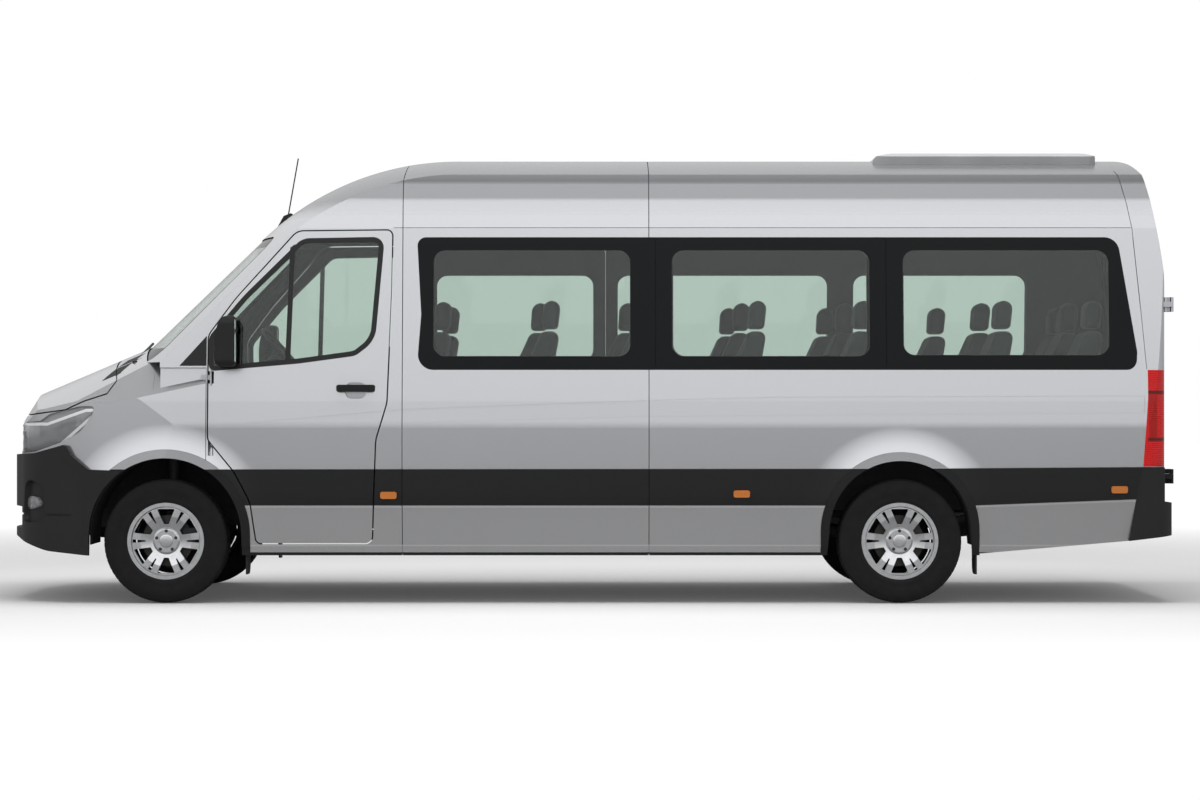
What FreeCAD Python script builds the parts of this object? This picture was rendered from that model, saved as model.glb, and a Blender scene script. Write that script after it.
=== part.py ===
import FreeCAD, Part
import math
import os

os.makedirs("parts", exist_ok=True)
V = FreeCAD.Vector

# ---------------------------------------------------------------- driving sizes (mm)
# X runs from the nose (-) to the tail (+), Y to the vehicle's right, Z up from the ground.
FRONT_OVERHANG = 1000.0
WHEELBASE = 4325.0
REAR_OVERHANG = 1642.0
WIDTH = 2020.0
ROOF_HEIGHT = 2672.0
SILL_HEIGHT = 282.0
FLOOR_HEIGHT = 700.0
BELT_HEIGHT = 1378.0
WHEEL_INSET = 138.0     # from the widest part of the body to the middle of a tyre
TYRE_RADIUS = 365.5
TYRE_WIDTH = 235.0
RIM_RADIUS = 238.0

WALL = 60.0            # cabin wall and door thickness
SKIN = 24.0            # wings, bonnet and skirts
FLOOR_PLATE = 40.0
CROWN = 2600.0         # cross-car curve of screen, roof and bonnet
SCREEN_SLOPE = 44.0    # degrees from level
CAP_RADIUS = 1730.0    # side-view bend from screen to roof
BONNET_SLOPE = 23.0
PANEL_GAP = 8.0
GLASS = 6.0

HALF = WIDTH / 2
TRACK = WIDTH - 2 * WHEEL_INSET
NOSE_HALF = HALF - 410.0         # half width of the face between the headlamps
RAIL = (HALF - 610.0, HALF - 540.0)    # inner and outer side of a chassis rail
SPRING_Y = TRACK / 2 - 342.0     # inner side of a rear spring
X_NOSE = -(FRONT_OVERHANG + WHEELBASE + REAR_OVERHANG) / 2
X_FRONT = X_NOSE + FRONT_OVERHANG
X_REAR = X_FRONT + WHEELBASE
X_TAIL = -X_NOSE
X_BACK = X_TAIL - 44.0           # face of the rear doors
X_GRILLE = X_NOSE + 38.0
X_DOOR = X_FRONT + 248.0         # front seam of the cab doors
X_PILLAR = X_FRONT + 1340.0      # rear edge of the cab door at the roof
X_SEAM = X_FRONT + 1395.0        # first body seam
X_CORNER = X_TAIL - 186.0        # rear corner seam at the belt
X_BULKHEAD = X_FRONT - 76.0
DRIP = ROOF_HEIGHT - 460.0       # gutter where wall and roof meet
GLASS_TOP = ROOF_HEIGHT - 514.0
COWL = V(X_FRONT - 228.5, 0, 1502.0)   # foot of the screen on the centre line
BONNET = V(X_FRONT - 346.5, 0, 1464.0)
LIP = V(X_GRILLE, 0, 1098.0)
SHOULDER = (  # three points of the plane above the wing crease
    (X_FRONT + 130, HALF - 6, 1262), (X_FRONT - 386, HALF - 4, 1160), (X_FRONT - 366, HALF - 150, 1330))


# ---------------------------------------------------------------- outline helpers
def corners(points, inset=0.0):
    """Moves every side of a closed outline inwards by the inset and meets neighbouring sides again."""
    pts = [(p[0], p[1], p[2] if len(p) > 2 else 0.0) for p in points]
    area = sum(a[0] * b[1] - b[0] * a[1] for a, b in zip(pts, pts[1:] + pts[:1]))
    turn = 1.0 if area > 0 else -1.0
    out = []
    for i, (u, v, r) in enumerate(pts):
        a, b = pts[i - 1], pts[(i + 1) % len(pts)]
        d1, d2 = (u - a[0], v - a[1]), (b[0] - u, b[1] - v)
        l1, l2 = math.hypot(*d1), math.hypot(*d2)
        n1, n2 = (-d1[1] / l1 * turn, d1[0] / l1 * turn), (-d2[1] / l2 * turn, d2[0] / l2 * turn)
        k = 1 + n1[0] * n2[0] + n1[1] * n2[1]
        bend = (d1[0] * d2[1] - d1[1] * d2[0]) * turn
        out.append((u + inset * (n1[0] + n2[0]) / k, v + inset * (n1[1] + n2[1]) / k,
                    max(0.0, r - inset if bend > 0 else r + inset) if r else 0.0))
    return out


def outline(points, place, inset=0.0):
    """Closed wire through the corners, each rounded by its own radius."""
    pts = corners(points, inset)
    edges, ends = [], []
    for i, (u, v, r) in enumerate(pts):
        a, b = pts[i - 1], pts[(i + 1) % len(pts)]
        d1, d2 = (a[0] - u, a[1] - v), (b[0] - u, b[1] - v)
        l1, l2 = math.hypot(*d1), math.hypot(*d2)
        e1, e2 = (d1[0] / l1, d1[1] / l1), (d2[0] / l2, d2[1] / l2)
        dot = max(-1.0, min(1.0, e1[0] * e2[0] + e1[1] * e2[1]))
        half = math.acos(dot) / 2
        if r <= 0 or half > math.pi / 2 - 1e-4:
            ends.append(((u, v), None, (u, v)))
            continue
        t = r / math.tan(half)
        bis = (e1[0] + e2[0], e1[1] + e2[1])
        lb = math.hypot(*bis)
        reach = r / math.sin(half) - r
        ends.append(((u + e1[0] * t, v + e1[1] * t), (u + bis[0] / lb * reach, v + bis[1] / lb * reach),
                     (u + e2[0] * t, v + e2[1] * t)))
    for i, (start, mid, end) in enumerate(ends):
        if mid:
            edges.append(Part.Arc(place(*start), place(*mid), place(*end)).toShape())
        nxt = ends[(i + 1) % len(ends)][0]
        if math.hypot(nxt[0] - end[0], nxt[1] - end[1]) > 1e-4:
            edges.append(Part.LineSegment(place(*end), place(*nxt)).toShape())
    return Part.Wire(edges)


def along_x(points, x0, x1, inset=0.0):
    return Part.Face(outline(points, lambda y, z: V(x0, y, z), inset)).extrude(V(x1 - x0, 0, 0))


def along_y(points, y0, y1, inset=0.0):
    return Part.Face(outline(points, lambda x, z: V(x, y0, z), inset)).extrude(V(0, y1 - y0, 0))


def along_z(points, z0, z1, inset=0.0):
    return Part.Face(outline(points, lambda x, y: V(x, y, z0), inset)).extrude(V(0, 0, z1 - z0))


def block(x0, x1, y0, y1, z0, z1):
    return Part.makeBox(abs(x1 - x0), abs(y1 - y0), abs(z1 - z0), V(min(x0, x1), min(y0, y1), min(z0, z1)))


def rod(a, b, radius):
    return Part.makeCylinder(radius, (b - a).Length, a, b - a)


def mirrored(shape):
    return shape.mirror(V(0, 0, 0), V(0, 1, 0))


def both(half_points):
    """Closes a right-hand half outline with its mirror image."""
    return list(half_points) + [(-p[0],) + tuple(p[1:]) for p in reversed(half_points)]


def both_y(half_points):
    return list(half_points) + [(p[0], -p[1]) + tuple(p[2:]) for p in reversed(half_points)]


def rounded(u0, u1, v0, v1, radius):
    """Corners of a rectangle, all rounded alike."""
    return [(u0, v0, radius), (u1, v0, radius), (u1, v1, radius), (u0, v1, radius)]


# ---------------------------------------------------------------- body volumes
SECTION = both([  # y, z, corner radius
    (HALF - 48, SILL_HEIGHT), (HALF - 5, 620, 700), (HALF, 1050, 500), (HALF - 8, 1190, 300), (HALF - 86, DRIP),
    (HALF - 106, ROOF_HEIGHT - 290, 90), (HALF - 152, ROOF_HEIGHT - 152, 130),
    (HALF - 400, ROOF_HEIGHT + 8), (HALF - 520, ROOF_HEIGHT + 60)])
PLAN = both_y([  # x, y, corner radius
    (X_GRILLE, HALF - 530, 900), (X_GRILLE + 140, HALF - 205, 380), (X_GRILLE + 500, HALF - 22, 400),
    (X_FRONT + 100, HALF + 2), (X_BACK - 40, HALF + 2, 130), (X_BACK - 6, HALF - 310, 1500)])
TAIL = [  # x, z, corner radius
    (X_NOSE - 100, 100), (X_REAR + 470, 100), (X_REAR + 470, 292), (X_TAIL - 288, 368), (X_BACK, 404),
    (X_BACK, ROOF_HEIGHT - 757, 4700),
    (X_BACK - 180, ROOF_HEIGHT - 12, 80), (X_BACK - 900, ROOF_HEIGHT + 90), (X_NOSE - 100, ROOF_HEIGHT + 90)]


def tilted_cylinder(point, slope, inset):
    """Big cylinder whose top line passes through the point, less the inset, and climbs rearwards."""
    s, c = math.sin(math.radians(slope)), math.cos(math.radians(slope))
    axis = V(c, 0, s)
    return Part.makeCylinder(CROWN, 9000, point + V(s, 0, -c) * (CROWN + inset) - axis * 4500, axis)


def screen_x(z):
    return COWL.x + (z - COWL.z) / math.tan(math.radians(SCREEN_SLOPE))


def cabin_volume(inset, front_low, sill=0.0):
    """Everything under the screen, cap and roof, inside the walls and ahead of the tail."""
    slope = math.radians(SCREEN_SLOPE)
    apex = V(screen_x(ROOF_HEIGHT) + CAP_RADIUS * math.tan(slope / 2), 0, ROOF_HEIGHT - CAP_RADIUS)
    hull = along_x(SECTION, X_NOSE - 50, X_TAIL, inset).common(along_z(PLAN, sill, ROOF_HEIGHT + 200, inset))
    hull = hull.common(along_y(TAIL, -HALF - 50, HALF + 50, inset))
    reach = CAP_RADIUS + 600
    spoke = (apex.x - reach * math.sin(slope), apex.z + reach * math.cos(slope))
    front = along_y([(apex.x, apex.z), spoke, (COWL.x - 250, spoke[1]), (COWL.x - 250, COWL.z - 82),
                     (front_low, COWL.z - 82), (front_low, 0), (apex.x, 0)], -HALF - 40, HALF + 40)
    front = front.common(tilted_cylinder(COWL, SCREEN_SLOPE, inset)).common(hull)
    side, rise = HALF + 40, CAP_RADIUS - inset
    drop = CROWN - math.sqrt(CROWN ** 2 - side ** 2)
    foot_l, foot_r = apex + V(0, -side, 0), apex + V(0, side, 0)
    top_l, top_r = foot_l + V(0, 0, rise - drop), foot_r + V(0, 0, rise - drop)
    left, right, base = (Part.LineSegment(a, b).toShape()
                         for a, b in ((foot_l, top_l), (top_r, foot_r), (foot_r, foot_l)))
    bow = Part.Arc(top_l, apex + V(0, 0, rise), top_r).toShape()
    cap = Part.Face(Part.Wire([left, bow, right, base]))
    cap = cap.revolve(apex, V(0, -1, 0), SCREEN_SLOPE).common(hull)
    roof = Part.makeCylinder(CROWN, 9000, V(apex.x, 0, ROOF_HEIGHT - inset - CROWN), V(1, 0, 0)).common(hull)
    return front.fuse([cap, roof]).removeSplitter()


def nose_volume(inset, back):
    """The bonnet, wings and grille face, with leaning shoulders above the wing crease."""
    body = along_x(SECTION, X_NOSE, back, inset).common(along_z(PLAN, 0, ROOF_HEIGHT, inset))
    body = body.common(tilted_cylinder(BONNET, BONNET_SLOPE, inset))
    body = body.common(tilted_cylinder(LIP, 58.0, inset))
    for side in (1, -1):
        a, b, c = (V(p[0], p[1] * side, p[2]) for p in SHOULDER)
        n = (b - a).cross(c - a).normalize()
        n = n if n.z > 0 else n * -1
        a = a - n * inset
        slab = Part.makePlane(9000, 9000, a, n)
        slab.translate(a - slab.CenterOfMass)
        body = body.cut(slab.extrude(n * 1500))
    return body


def solids(shape, least=2000.0):
    """The real solids of a result, largest first, without boolean crumbs."""
    return sorted([s for s in shape.Solids if s.Volume > least], key=lambda s: -s.Volume)


NODES = {}


def node(name, *shapes):
    found = [s for shape in shapes for s in solids(shape)]
    NODES.setdefault(name, []).extend(found)


def pair(name, shape):
    """A right-hand piece and its mirror image in one node."""
    node(name, shape, mirrored(shape))


def turned(points, x, y, z):
    """Ring or disc turned about a cross-car axis: outline of radius and distance outboard."""
    face = Part.Face(outline(points, lambda r, v: V(x + r, y + v, z)))
    return face.revolve(V(x, y, z), V(0, 1, 0), 360)


# ---------------------------------------------------------------- side outlines (x, z, radius)
DOOR = [
    (X_DOOR, 962, 60), (X_DOOR, 1580, 90), (screen_x(1800) + 330, 1800, 900),
    (screen_x(DRIP - 12) + 275, DRIP - 12, 90), (X_PILLAR, DRIP - 6, 40), (X_PILLAR - 4, 1850, 0),
    (X_PILLAR - 30, 1180, 200), (X_PILLAR - 96, 960, 200), (X_PILLAR - 118, 346, 50),
    (X_FRONT + 530, 346, 40), (X_FRONT + 495, 600, 200), (X_FRONT + 405, 770, 250)]
DOOR_PANE = [
    (X_DOOR + 32, 1392, 12), (X_DOOR + 30, 1560, 60), (screen_x(1800) + 400, 1800, 900),
    (screen_x(GLASS_TOP - 18) + 388, GLASS_TOP - 30, 70), (X_PILLAR - 78, GLASS_TOP - 22, 36),
    (X_PILLAR - 128, 1560, 120), (X_PILLAR - 230, 1480, 60), (X_PILLAR - 560, 1435, 200)]
BAND_REAR = [(X_CORNER - 170, GLASS_TOP, 90), (X_CORNER - 60, 1480, 0), (X_CORNER - 66, BELT_HEIGHT - 4, 60)]
BAND = {   # glass band of each side
    "left": [(X_SEAM + 85, BELT_HEIGHT - 4, 90), (X_SEAM + 110, 1700, 0), (X_SEAM + 84, GLASS_TOP, 50)] + BAND_REAR,
    "right": [(X_SEAM + 28, BELT_HEIGHT - 4, 60), (X_SEAM + 34, 1700, 0), (X_SEAM + 28, GLASS_TOP, 50)] + BAND_REAR}
BAY_SEAM = X_SEAM + 1452.0       # second body seam
SLIDING_LENGTH = 1200.0
SLIDING_END = X_SEAM + SLIDING_LENGTH
BAYS = (   # side, front and rear edge of the pane, front and rear edge of its window, head of the window
    ("left", X_SEAM, X_SEAM + 1491, X_SEAM + 189, X_SEAM + 1379, GLASS_TOP - 72),
    ("left", X_SEAM + 1491, X_SEAM + 2850, X_SEAM + 1595, X_SEAM + 2738, GLASS_TOP - 72),
    ("left", X_SEAM + 2850, X_CORNER, X_SEAM + 2954, X_CORNER - 172, GLASS_TOP - 72),
    ("right", X_SEAM, SLIDING_END, X_SEAM + 92, SLIDING_END - 76, GLASS_TOP - 144),
    ("right", SLIDING_END, X_SEAM + 2742, SLIDING_END + 75, X_SEAM + 2654, GLASS_TOP - 144),
    ("right", X_SEAM + 2742, X_CORNER, X_SEAM + 2817, X_SEAM + 3949, GLASS_TOP - 144))
SLIDING = [
    (X_SEAM, SILL_HEIGHT + 66, 40), (X_SEAM, DRIP - 8, 50),
    (SLIDING_END, DRIP - 8, 50), (SLIDING_END, SILL_HEIGHT + 66, 40)]
SHUT = [  # under edge of the bonnet
    (X_FRONT - 600, 1135), (X_FRONT - 470, 1190), (X_FRONT - 358, 1227), (X_FRONT - 200, 1268, 60),
    (X_FRONT - 128, 1340, 60), (X_FRONT - 90, 1470), (X_FRONT - 90, 1900), (X_NOSE - 100, 1900),
    (X_NOSE - 100, 1080), (X_FRONT - 800, 1110)]


def arch(x, radius, height, splay):
    z = height - radius
    top = [(x + radius * math.cos(math.radians(a)), z + radius * math.sin(math.radians(a))) for a in (0, 90, 180)]
    edges = [Part.Arc(V(top[0][0], 0, z), V(x, 0, height), V(top[2][0], 0, z)).toShape()]
    loop = [V(top[2][0], 0, z), V(x - radius - splay, 0, 0), V(x + radius + splay, 0, 0), V(top[0][0], 0, z)]
    edges += [Part.LineSegment(a, b).toShape() for a, b in zip(loop, loop[1:])]
    face = Part.Face(Part.Wire(edges))
    face.translate(V(0, -HALF - 100, 0))
    return face.extrude(V(0, 2 * HALF + 200, 0))


ARCHES = (  # axle, radius, top, splay, inboard face of the wheel housing
    (X_FRONT, 447.0, 855.0, 8.0, HALF - 480.0),
    (X_REAR, 416.0, 839.0, 38.0, HALF - 310.0))

# ---------------------------------------------------------------- shells
outer = cabin_volume(0, X_BULKHEAD)
UNDERFLOOR = FLOOR_HEIGHT - FLOOR_PLATE
cabin = cabin_volume(WALL, X_BULKHEAD + 40).common(block(X_NOSE, X_TAIL, -HALF, HALF, UNDERFLOOR, 4000))
under = along_x(SECTION, X_BULKHEAD - 1, X_BACK - 60, SKIN)
under = under.common(block(X_NOSE, X_TAIL, -HALF, HALF, 0, UNDERFLOOR))
under = under.fuse(block(X_BULKHEAD - 1, X_BACK - 60, -HALF + 75, HALF - 75, 0, SILL_HEIGHT + SKIN + 2))
shell = outer.cut(cabin.fuse(under))


def side_layer(lift, depth):
    """A layer that follows the flanks, from so far outside the surface to so far inside it."""
    def hull(inset):
        return along_x(SECTION, X_NOSE - 50, X_BACK - 60, inset).common(along_z(PLAN, 0, ROOF_HEIGHT, inset))
    return hull(-lift).cut(hull(depth))


GUARD_LOW, GUARD_TOP, GUARD_LIFT = 577.0, 789.0, 6.0      # rubbing band along the flank
GUARD = [(X_FRONT + 100, GUARD_LOW), (X_FRONT + 100, GUARD_TOP), (X_REAR, GUARD_TOP + 4),
         (X_CORNER + 20, GUARD_TOP + 14), (X_CORNER - 22, GUARD_LOW + 38), (X_REAR + 430, GUARD_LOW)]
WAIST = [(X_FRONT + 480, 1063), (X_SEAM, 1063), (X_SEAM + 1450, 1098), (X_CORNER - 20, 1120),
         (X_CORNER - 20, 1222), (X_SEAM + 2200, 1214), (X_SEAM + 1450, 1196), (X_SEAM, 1142)]
FLARE, FLARE_LIFT, FLARE_FOOT = 50.0, 10.0, 330.0         # lips round the wheel arches
WAIST_DEPTH = 3.0
proud = side_layer(GUARD_LIFT, 1.0).common(along_y(GUARD, -HALF - 50, HALF + 50))
ring_layer = side_layer(FLARE_LIFT, 1.0).common(block(X_NOSE, X_TAIL, -HALF - 50, HALF + 50, FLARE_FOOT, 1000))
proud = proud.fuse([ring_layer.common(arch(x, radius + FLARE, top + FLARE, splay))
                    for x, radius, top, splay, inner in ARCHES])
shell = shell.fuse(proud.common(block(X_DOOR - PANEL_GAP, X_TAIL, -HALF - 50, HALF + 50, 0, 1000)))
shell = shell.cut(side_layer(2.0, WAIST_DEPTH).common(along_y(WAIST, -HALF - 50, HALF + 50)))
for axle, radius, top, splay, inner in ARCHES:
    shell = shell.cut(arch(axle, radius, top, splay))
nose = nose_volume(0, X_DOOR - PANEL_GAP).cut(nose_volume(SKIN, X_DOOR - PANEL_GAP + 1))
nose = nose.cut(block(X_NOSE, X_TAIL, -HALF + SKIN, HALF - SKIN, 0, SILL_HEIGHT + 30))
nose = nose.fuse(proud.common(block(X_NOSE, X_DOOR - PANEL_GAP, -HALF - 50, HALF + 50, 0, 1000)))
nose = nose.cut(arch(*ARCHES[0][:4]))

# doors and their openings
door_cut = along_y(DOOR, 500, HALF + 100)
door = shell.common(along_y(DOOR, 500, HALF + 100, PANEL_GAP))


def grip(length, proud_by, height):
    """Pull handle, long way along X and standing out along Y from the origin."""
    end, thick, foot = length / 2, proud_by * 0.45, 34.0
    bow = [(-end, 0), (-end + 26, proud_by, 26), (end - 26, proud_by, 26), (end, 0), (end - foot, 0),
           (end - foot - 16, proud_by - thick, 12), (-end + foot + 16, proud_by - thick, 12), (-end + foot, 0)]
    face = along_y(rounded(-end, end, -height / 2, height / 2, height * 0.45), -5, proud_by + 5)
    return along_z(bow, -height / 2, height / 2).common(face)


def fit_grip(panel, x, z, length=236.0):
    """Cuts a finger cup into a flank panel and sets a grip across it."""
    y = HALF - 14
    cup = along_y(rounded(x - 62, x + 62, z - 62, z + 34, 40), y - 20, y + 60)
    handle = grip(length, 36, 42)
    handle.translate(V(x, y - 3, z))
    return panel.cut(cup).fuse(handle)


GRIP_HEIGHT = 1266.0
door = fit_grip(door, X_PILLAR - 218, GRIP_HEIGHT)
rear_door_outline = [(0, 590, 0), (HALF - 150, 590, 60), (HALF - 150, BELT_HEIGHT, 0),
                     (HALF - 235, ROOF_HEIGHT - 190, 90), (0, ROOF_HEIGHT - 165, 0)]
rear_cut = along_x(rear_door_outline, X_BACK - 330, X_TAIL + 50)
rear_door = shell.common(along_x(rear_door_outline, X_BACK - 330, X_TAIL + 50, PANEL_GAP))
rear_cut = rear_cut.fuse(mirrored(rear_cut))
frame = shell.cut(door_cut.fuse(mirrored(door_cut))).cut(rear_cut)

# windscreen: an opening in the nose of the cab, with the pane standing in it
SCREEN = both([(HALF - 146, 1428, 90), (HALF - 232, GLASS_TOP + 16, 110)])
screen_tool = along_x(SCREEN, COWL.x - 250, screen_x(GLASS_TOP + 16) + 300)
screen_pane = along_x(SCREEN, COWL.x - 250, screen_x(GLASS_TOP + 16) + 300, 1.0)
frame = frame.cut(screen_tool)
pane_skin = cabin_volume(6.0, COWL.x - 240).cut(cabin_volume(6.0 + GLASS, COWL.x - 241))
node("windscreen", pane_skin.common(screen_pane))

roof_zone = block(screen_x(DRIP) - 400, X_TAIL, -HALF, HALF, DRIP, ROOF_HEIGHT + 100)
roof_zone = roof_zone.fuse(block(COWL.x - 200, X_DOOR + 1300, -HALF + 222, HALF - 222, 1900, DRIP))
roof = frame.common(roof_zone)
walls = frame.cut(roof_zone)

# seams cut into the outside of the walls and roof, and the side windows
wall_core = cabin_volume(8.0, X_BULKHEAD + 8)
REAR_SEAM = [(X_CORNER - 162, ROOF_HEIGHT - 110), (X_CORNER - 110, ROOF_HEIGHT - 330), (X_CORNER - 84, DRIP),
             (X_CORNER - 38, 1726), (X_CORNER - 8, BELT_HEIGHT)]
seams = [block(x - 2, x + 2, -HALF - 20, HALF + 20, SILL_HEIGHT - 5, ROOF_HEIGHT + 50)
         for x in (X_SEAM, BAY_SEAM)]
seams.append(block(X_PILLAR, X_CORNER - 80, -HALF - 20, HALF + 20, DRIP, DRIP + 4))
seams.append(along_y(REAR_SEAM + [(x + 4, z) for x, z in reversed(REAR_SEAM)], -HALF - 20, HALF + 20))
seams = seams[0].fuse(seams[1:]).cut(wall_core)
walls, roof = walls.cut(seams), roof.cut(seams)
RAIL_SLOT = (SLIDING_END + 40, SLIDING_END + SLIDING_LENGTH, 1252.0, 1286.0)   # sliding door's middle rail
walls = walls.cut(block(*RAIL_SLOT[:2], HALF - 36, HALF + 20, *RAIL_SLOT[2:]))
glass_face = along_x(SECTION, X_SEAM, X_TAIL, 1.0)
glass_back = along_x(SECTION, X_SEAM, X_TAIL, 1.0 + GLASS)
for side_name, side in (("left", -1), ("right", 1)):
    band = along_y(BAND[side_name], side * 500, side * (HALF + 50))
    walls = walls.cut(band.cut(glass_back))
    for bay_side, x0, x1, window_x0, window_x1, head in BAYS:
        if bay_side == side_name:
            bay = block(x0 + PANEL_GAP / 4, x1 - PANEL_GAP / 4, side * 500, side * (HALF + 50), 1200, DRIP)
            node("side_glass", glass_face.cut(glass_back).common(band).common(bay))
            hole = [(window_x0, BELT_HEIGHT + 78, 70), (window_x0, head, 60),
                    (window_x1, head, 60), (window_x1, BELT_HEIGHT + 78, 60)]
            walls = walls.cut(along_y(hole, side * 500, side * (HALF + 50)))

# pieces let into the corners of the body
LAMP_SIDE = [(X_CORNER, BELT_HEIGHT - 4), (X_CORNER, 1212, 200), (X_CORNER - 30, 806), (X_TAIL, 806),
             (X_TAIL, BELT_HEIGHT - 4)]
tail_lamp_zone = along_y(LAMP_SIDE, HALF - 138, HALF + 50)
pair("tail_lamps", outer.cut(cabin_volume(44.0, X_BULKHEAD)).common(tail_lamp_zone))
BUMPER_REAR = [(X_TAIL - 296, 368), (X_TAIL - 226, 800), (X_TAIL - 85, 800), (X_TAIL - 85, 600),
               (X_TAIL + 20, 584), (X_TAIL + 20, 404), (X_TAIL - 60, 396)]
rear_zone = along_y(BUMPER_REAR, -HALF - 50, HALF + 50)
rear_plan = both_y([(X_TAIL - 700, HALF - 3), (X_TAIL - 42, HALF - 3, 120), (X_TAIL, HALF - 320, 200)])
rear_bumper = along_z(rear_plan, 200, 900).cut(along_z(rear_plan, 199, 901, 56)).common(rear_zone)
rear_bumper = rear_bumper.cut(block(X_TAIL - 900, X_TAIL + 60, -HALF + 138, HALF - 138, 584, 900))
node("rear_bumper", rear_bumper)
walls = walls.cut(tail_lamp_zone.fuse(mirrored(tail_lamp_zone))).cut(rear_zone)
wing_zone = block(X_NOSE, X_DOOR - PANEL_GAP / 2, -HALF - 5, HALF + 5, 0, 1388)
walls = walls.cut(wing_zone.cut(along_x(SECTION, X_NOSE, X_DOOR, SKIN + 1)))
walls = walls.cut(block(X_NOSE, X_BULKHEAD + 45, -HALF, HALF, 0, COWL.z - 82))

# hinge pins of the cab doors on arms from the screen pillars, and of the rear doors on outside leaves
CAB_PIN = V(X_DOOR + 22, HALF - 14, 0)
REAR_PIN = V(X_BACK + 22.5, HALF - 142, 0)
PIN, BORE = 6.0, 6.3
CAB_HINGES = (1060.0, 1330.0)
REAR_HINGES = (745.0, 1763.0)
swing = rod(V(CAB_PIN.x, CAB_PIN.y, 870), V(CAB_PIN.x, CAB_PIN.y, 976), 20)     # room for the door's front edge
walls = walls.cut(swing.fuse(mirrored(swing)))
for z in CAB_HINGES:
    x, y = CAB_PIN.x, CAB_PIN.y
    pin = rod(V(x, y, z - 46), V(x, y, z + 46), PIN)
    bracket = along_z([(x - 62, y - 44), (x - 62, y - 20), (x - 10, y - 20), (x - 5, y + 5), (x + 5, y + 5),
                       (x + 5, y - 20), (x + 2, y - 44)], z - 14, z + 14).fuse(pin)
    walls = walls.fuse([bracket, mirrored(bracket)])
    pocket = block(x - 60, x + 17, y - 70, y + 10, z - 36, z + 36).fuse(rod(V(x, y, z - 48), V(x, y, z + 48), BORE))
    door = door.cut(pocket)
for z in REAR_HINGES:
    x, y = REAR_PIN.x, REAR_PIN.y
    leaf = block(x - 90, x, y, y + 46, z - 15, z + 15).fuse(rod(V(x, y, z - 15), V(x, y, z + 15), 11))
    leaf = leaf.cut(outer).cut(rear_bumper)
    leaf = leaf.fuse(rod(V(x, y, z - 42), V(x, y, z + 42), PIN))
    leaf = solids(leaf)[0]
    walls = walls.fuse([leaf, mirrored(leaf)])
    for z0, z1 in ((z - 43, z - 15.3), (z + 15.3, z + 43)):
        tab = block(x - 120, x, y - 60, y, z0, z1).fuse(rod(V(x, y, z0), V(x, y, z1), 11))
        tab = tab.cut([outer.cut(rear_door), rod(V(x, y, z0), V(x, y, z1), BORE),
                       block(x - 95, x - 20, y - 7, y + 9, z0, z1)])
        tab = tab.common(block(x - 40, x + 11, y - 60, y + 12, z0, z1).fuse(rear_door))
        rear_door = rear_door.fuse(tab)

right = walls.common(block(X_NOSE, X_TAIL, 0, HALF + 10, 0, 4000))
node("left_side_wall", walls.common(block(X_NOSE, X_TAIL, -HALF - 10, 0, 0, 4000)))
sliding = along_y(SLIDING, 500, HALF + 50)
slider = right.common(along_y(SLIDING, 500, HALF + 50, PANEL_GAP))
node("sliding_door", fit_grip(slider, X_SEAM + 190, GRIP_HEIGHT))
node("right_side_wall", right.cut(sliding))
node("roof_panel", roof)

# cab doors with their panes
cab_window = along_y(DOOR_PANE, 500, HALF + 50)
side_skin = along_x(SECTION, X_DOOR - 50, X_SEAM, 2.0).cut(along_x(SECTION, X_DOOR - 50, X_SEAM, 2.0 + GLASS))
door = door.cut(cab_window)
cab_pane = side_skin.common(along_y(DOOR_PANE, 500, HALF + 50, 0.3))
node("right_cab_door", door)
node("left_cab_door", mirrored(door))
node("right_cab_door_glass", cab_pane)
node("left_cab_door_glass", mirrored(cab_pane))

# rear doors with their panes
REAR_PANE = [(110, 1396, 60), (HALF - 250, 1396, 60), (HALF - 292, GLASS_TOP - 20, 80), (110, GLASS_TOP - 20, 60)]
rear_pane = cabin_volume(2.0, X_BULKHEAD).cut(cabin_volume(2.0 + GLASS, X_BULKHEAD))
rear_pane = rear_pane.common(along_x(REAR_PANE, X_BACK - 400, X_TAIL, 0.3))
rear_door = rear_door.cut(along_x(REAR_PANE, X_BACK - 400, X_TAIL))
MEETING_FLANGE, MEETING_REBATE = 24.0, 36.0     # thickness of the meeting edges, and how far they reach
rear_door = rear_door.cut(cabin_volume(MEETING_FLANGE, X_BULKHEAD).common(
    block(X_REAR, X_TAIL, -MEETING_REBATE, MEETING_REBATE, 0, ROOF_HEIGHT)))
REAR_GRIP = V(X_BACK, 150, 1180)
PLATE = [(0, 820, 0), (262, 820, 12), (262, 944, 12), (0, 944, 0)]
rear_door = rear_door.cut(along_x(PLATE, X_BACK - 8, X_TAIL))
rear_grip = grip(150.0, 34, 40)
rear_grip.rotate(V(0, 0, 0), V(0, 0, 1), -90)
rear_grip.translate(REAR_GRIP - V(10, 0, 0))
cup = along_x(rounded(REAR_GRIP.y - 58, REAR_GRIP.y + 58, REAR_GRIP.z - 32, REAR_GRIP.z + 32, 30),
              X_BACK - 20, X_TAIL)
node("right_rear_door", rear_door.cut(cup).fuse(rear_grip))
node("left_rear_door", mirrored(rear_door))
node("right_rear_door_glass", rear_pane)
node("left_rear_door_glass", mirrored(rear_pane))

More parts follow.
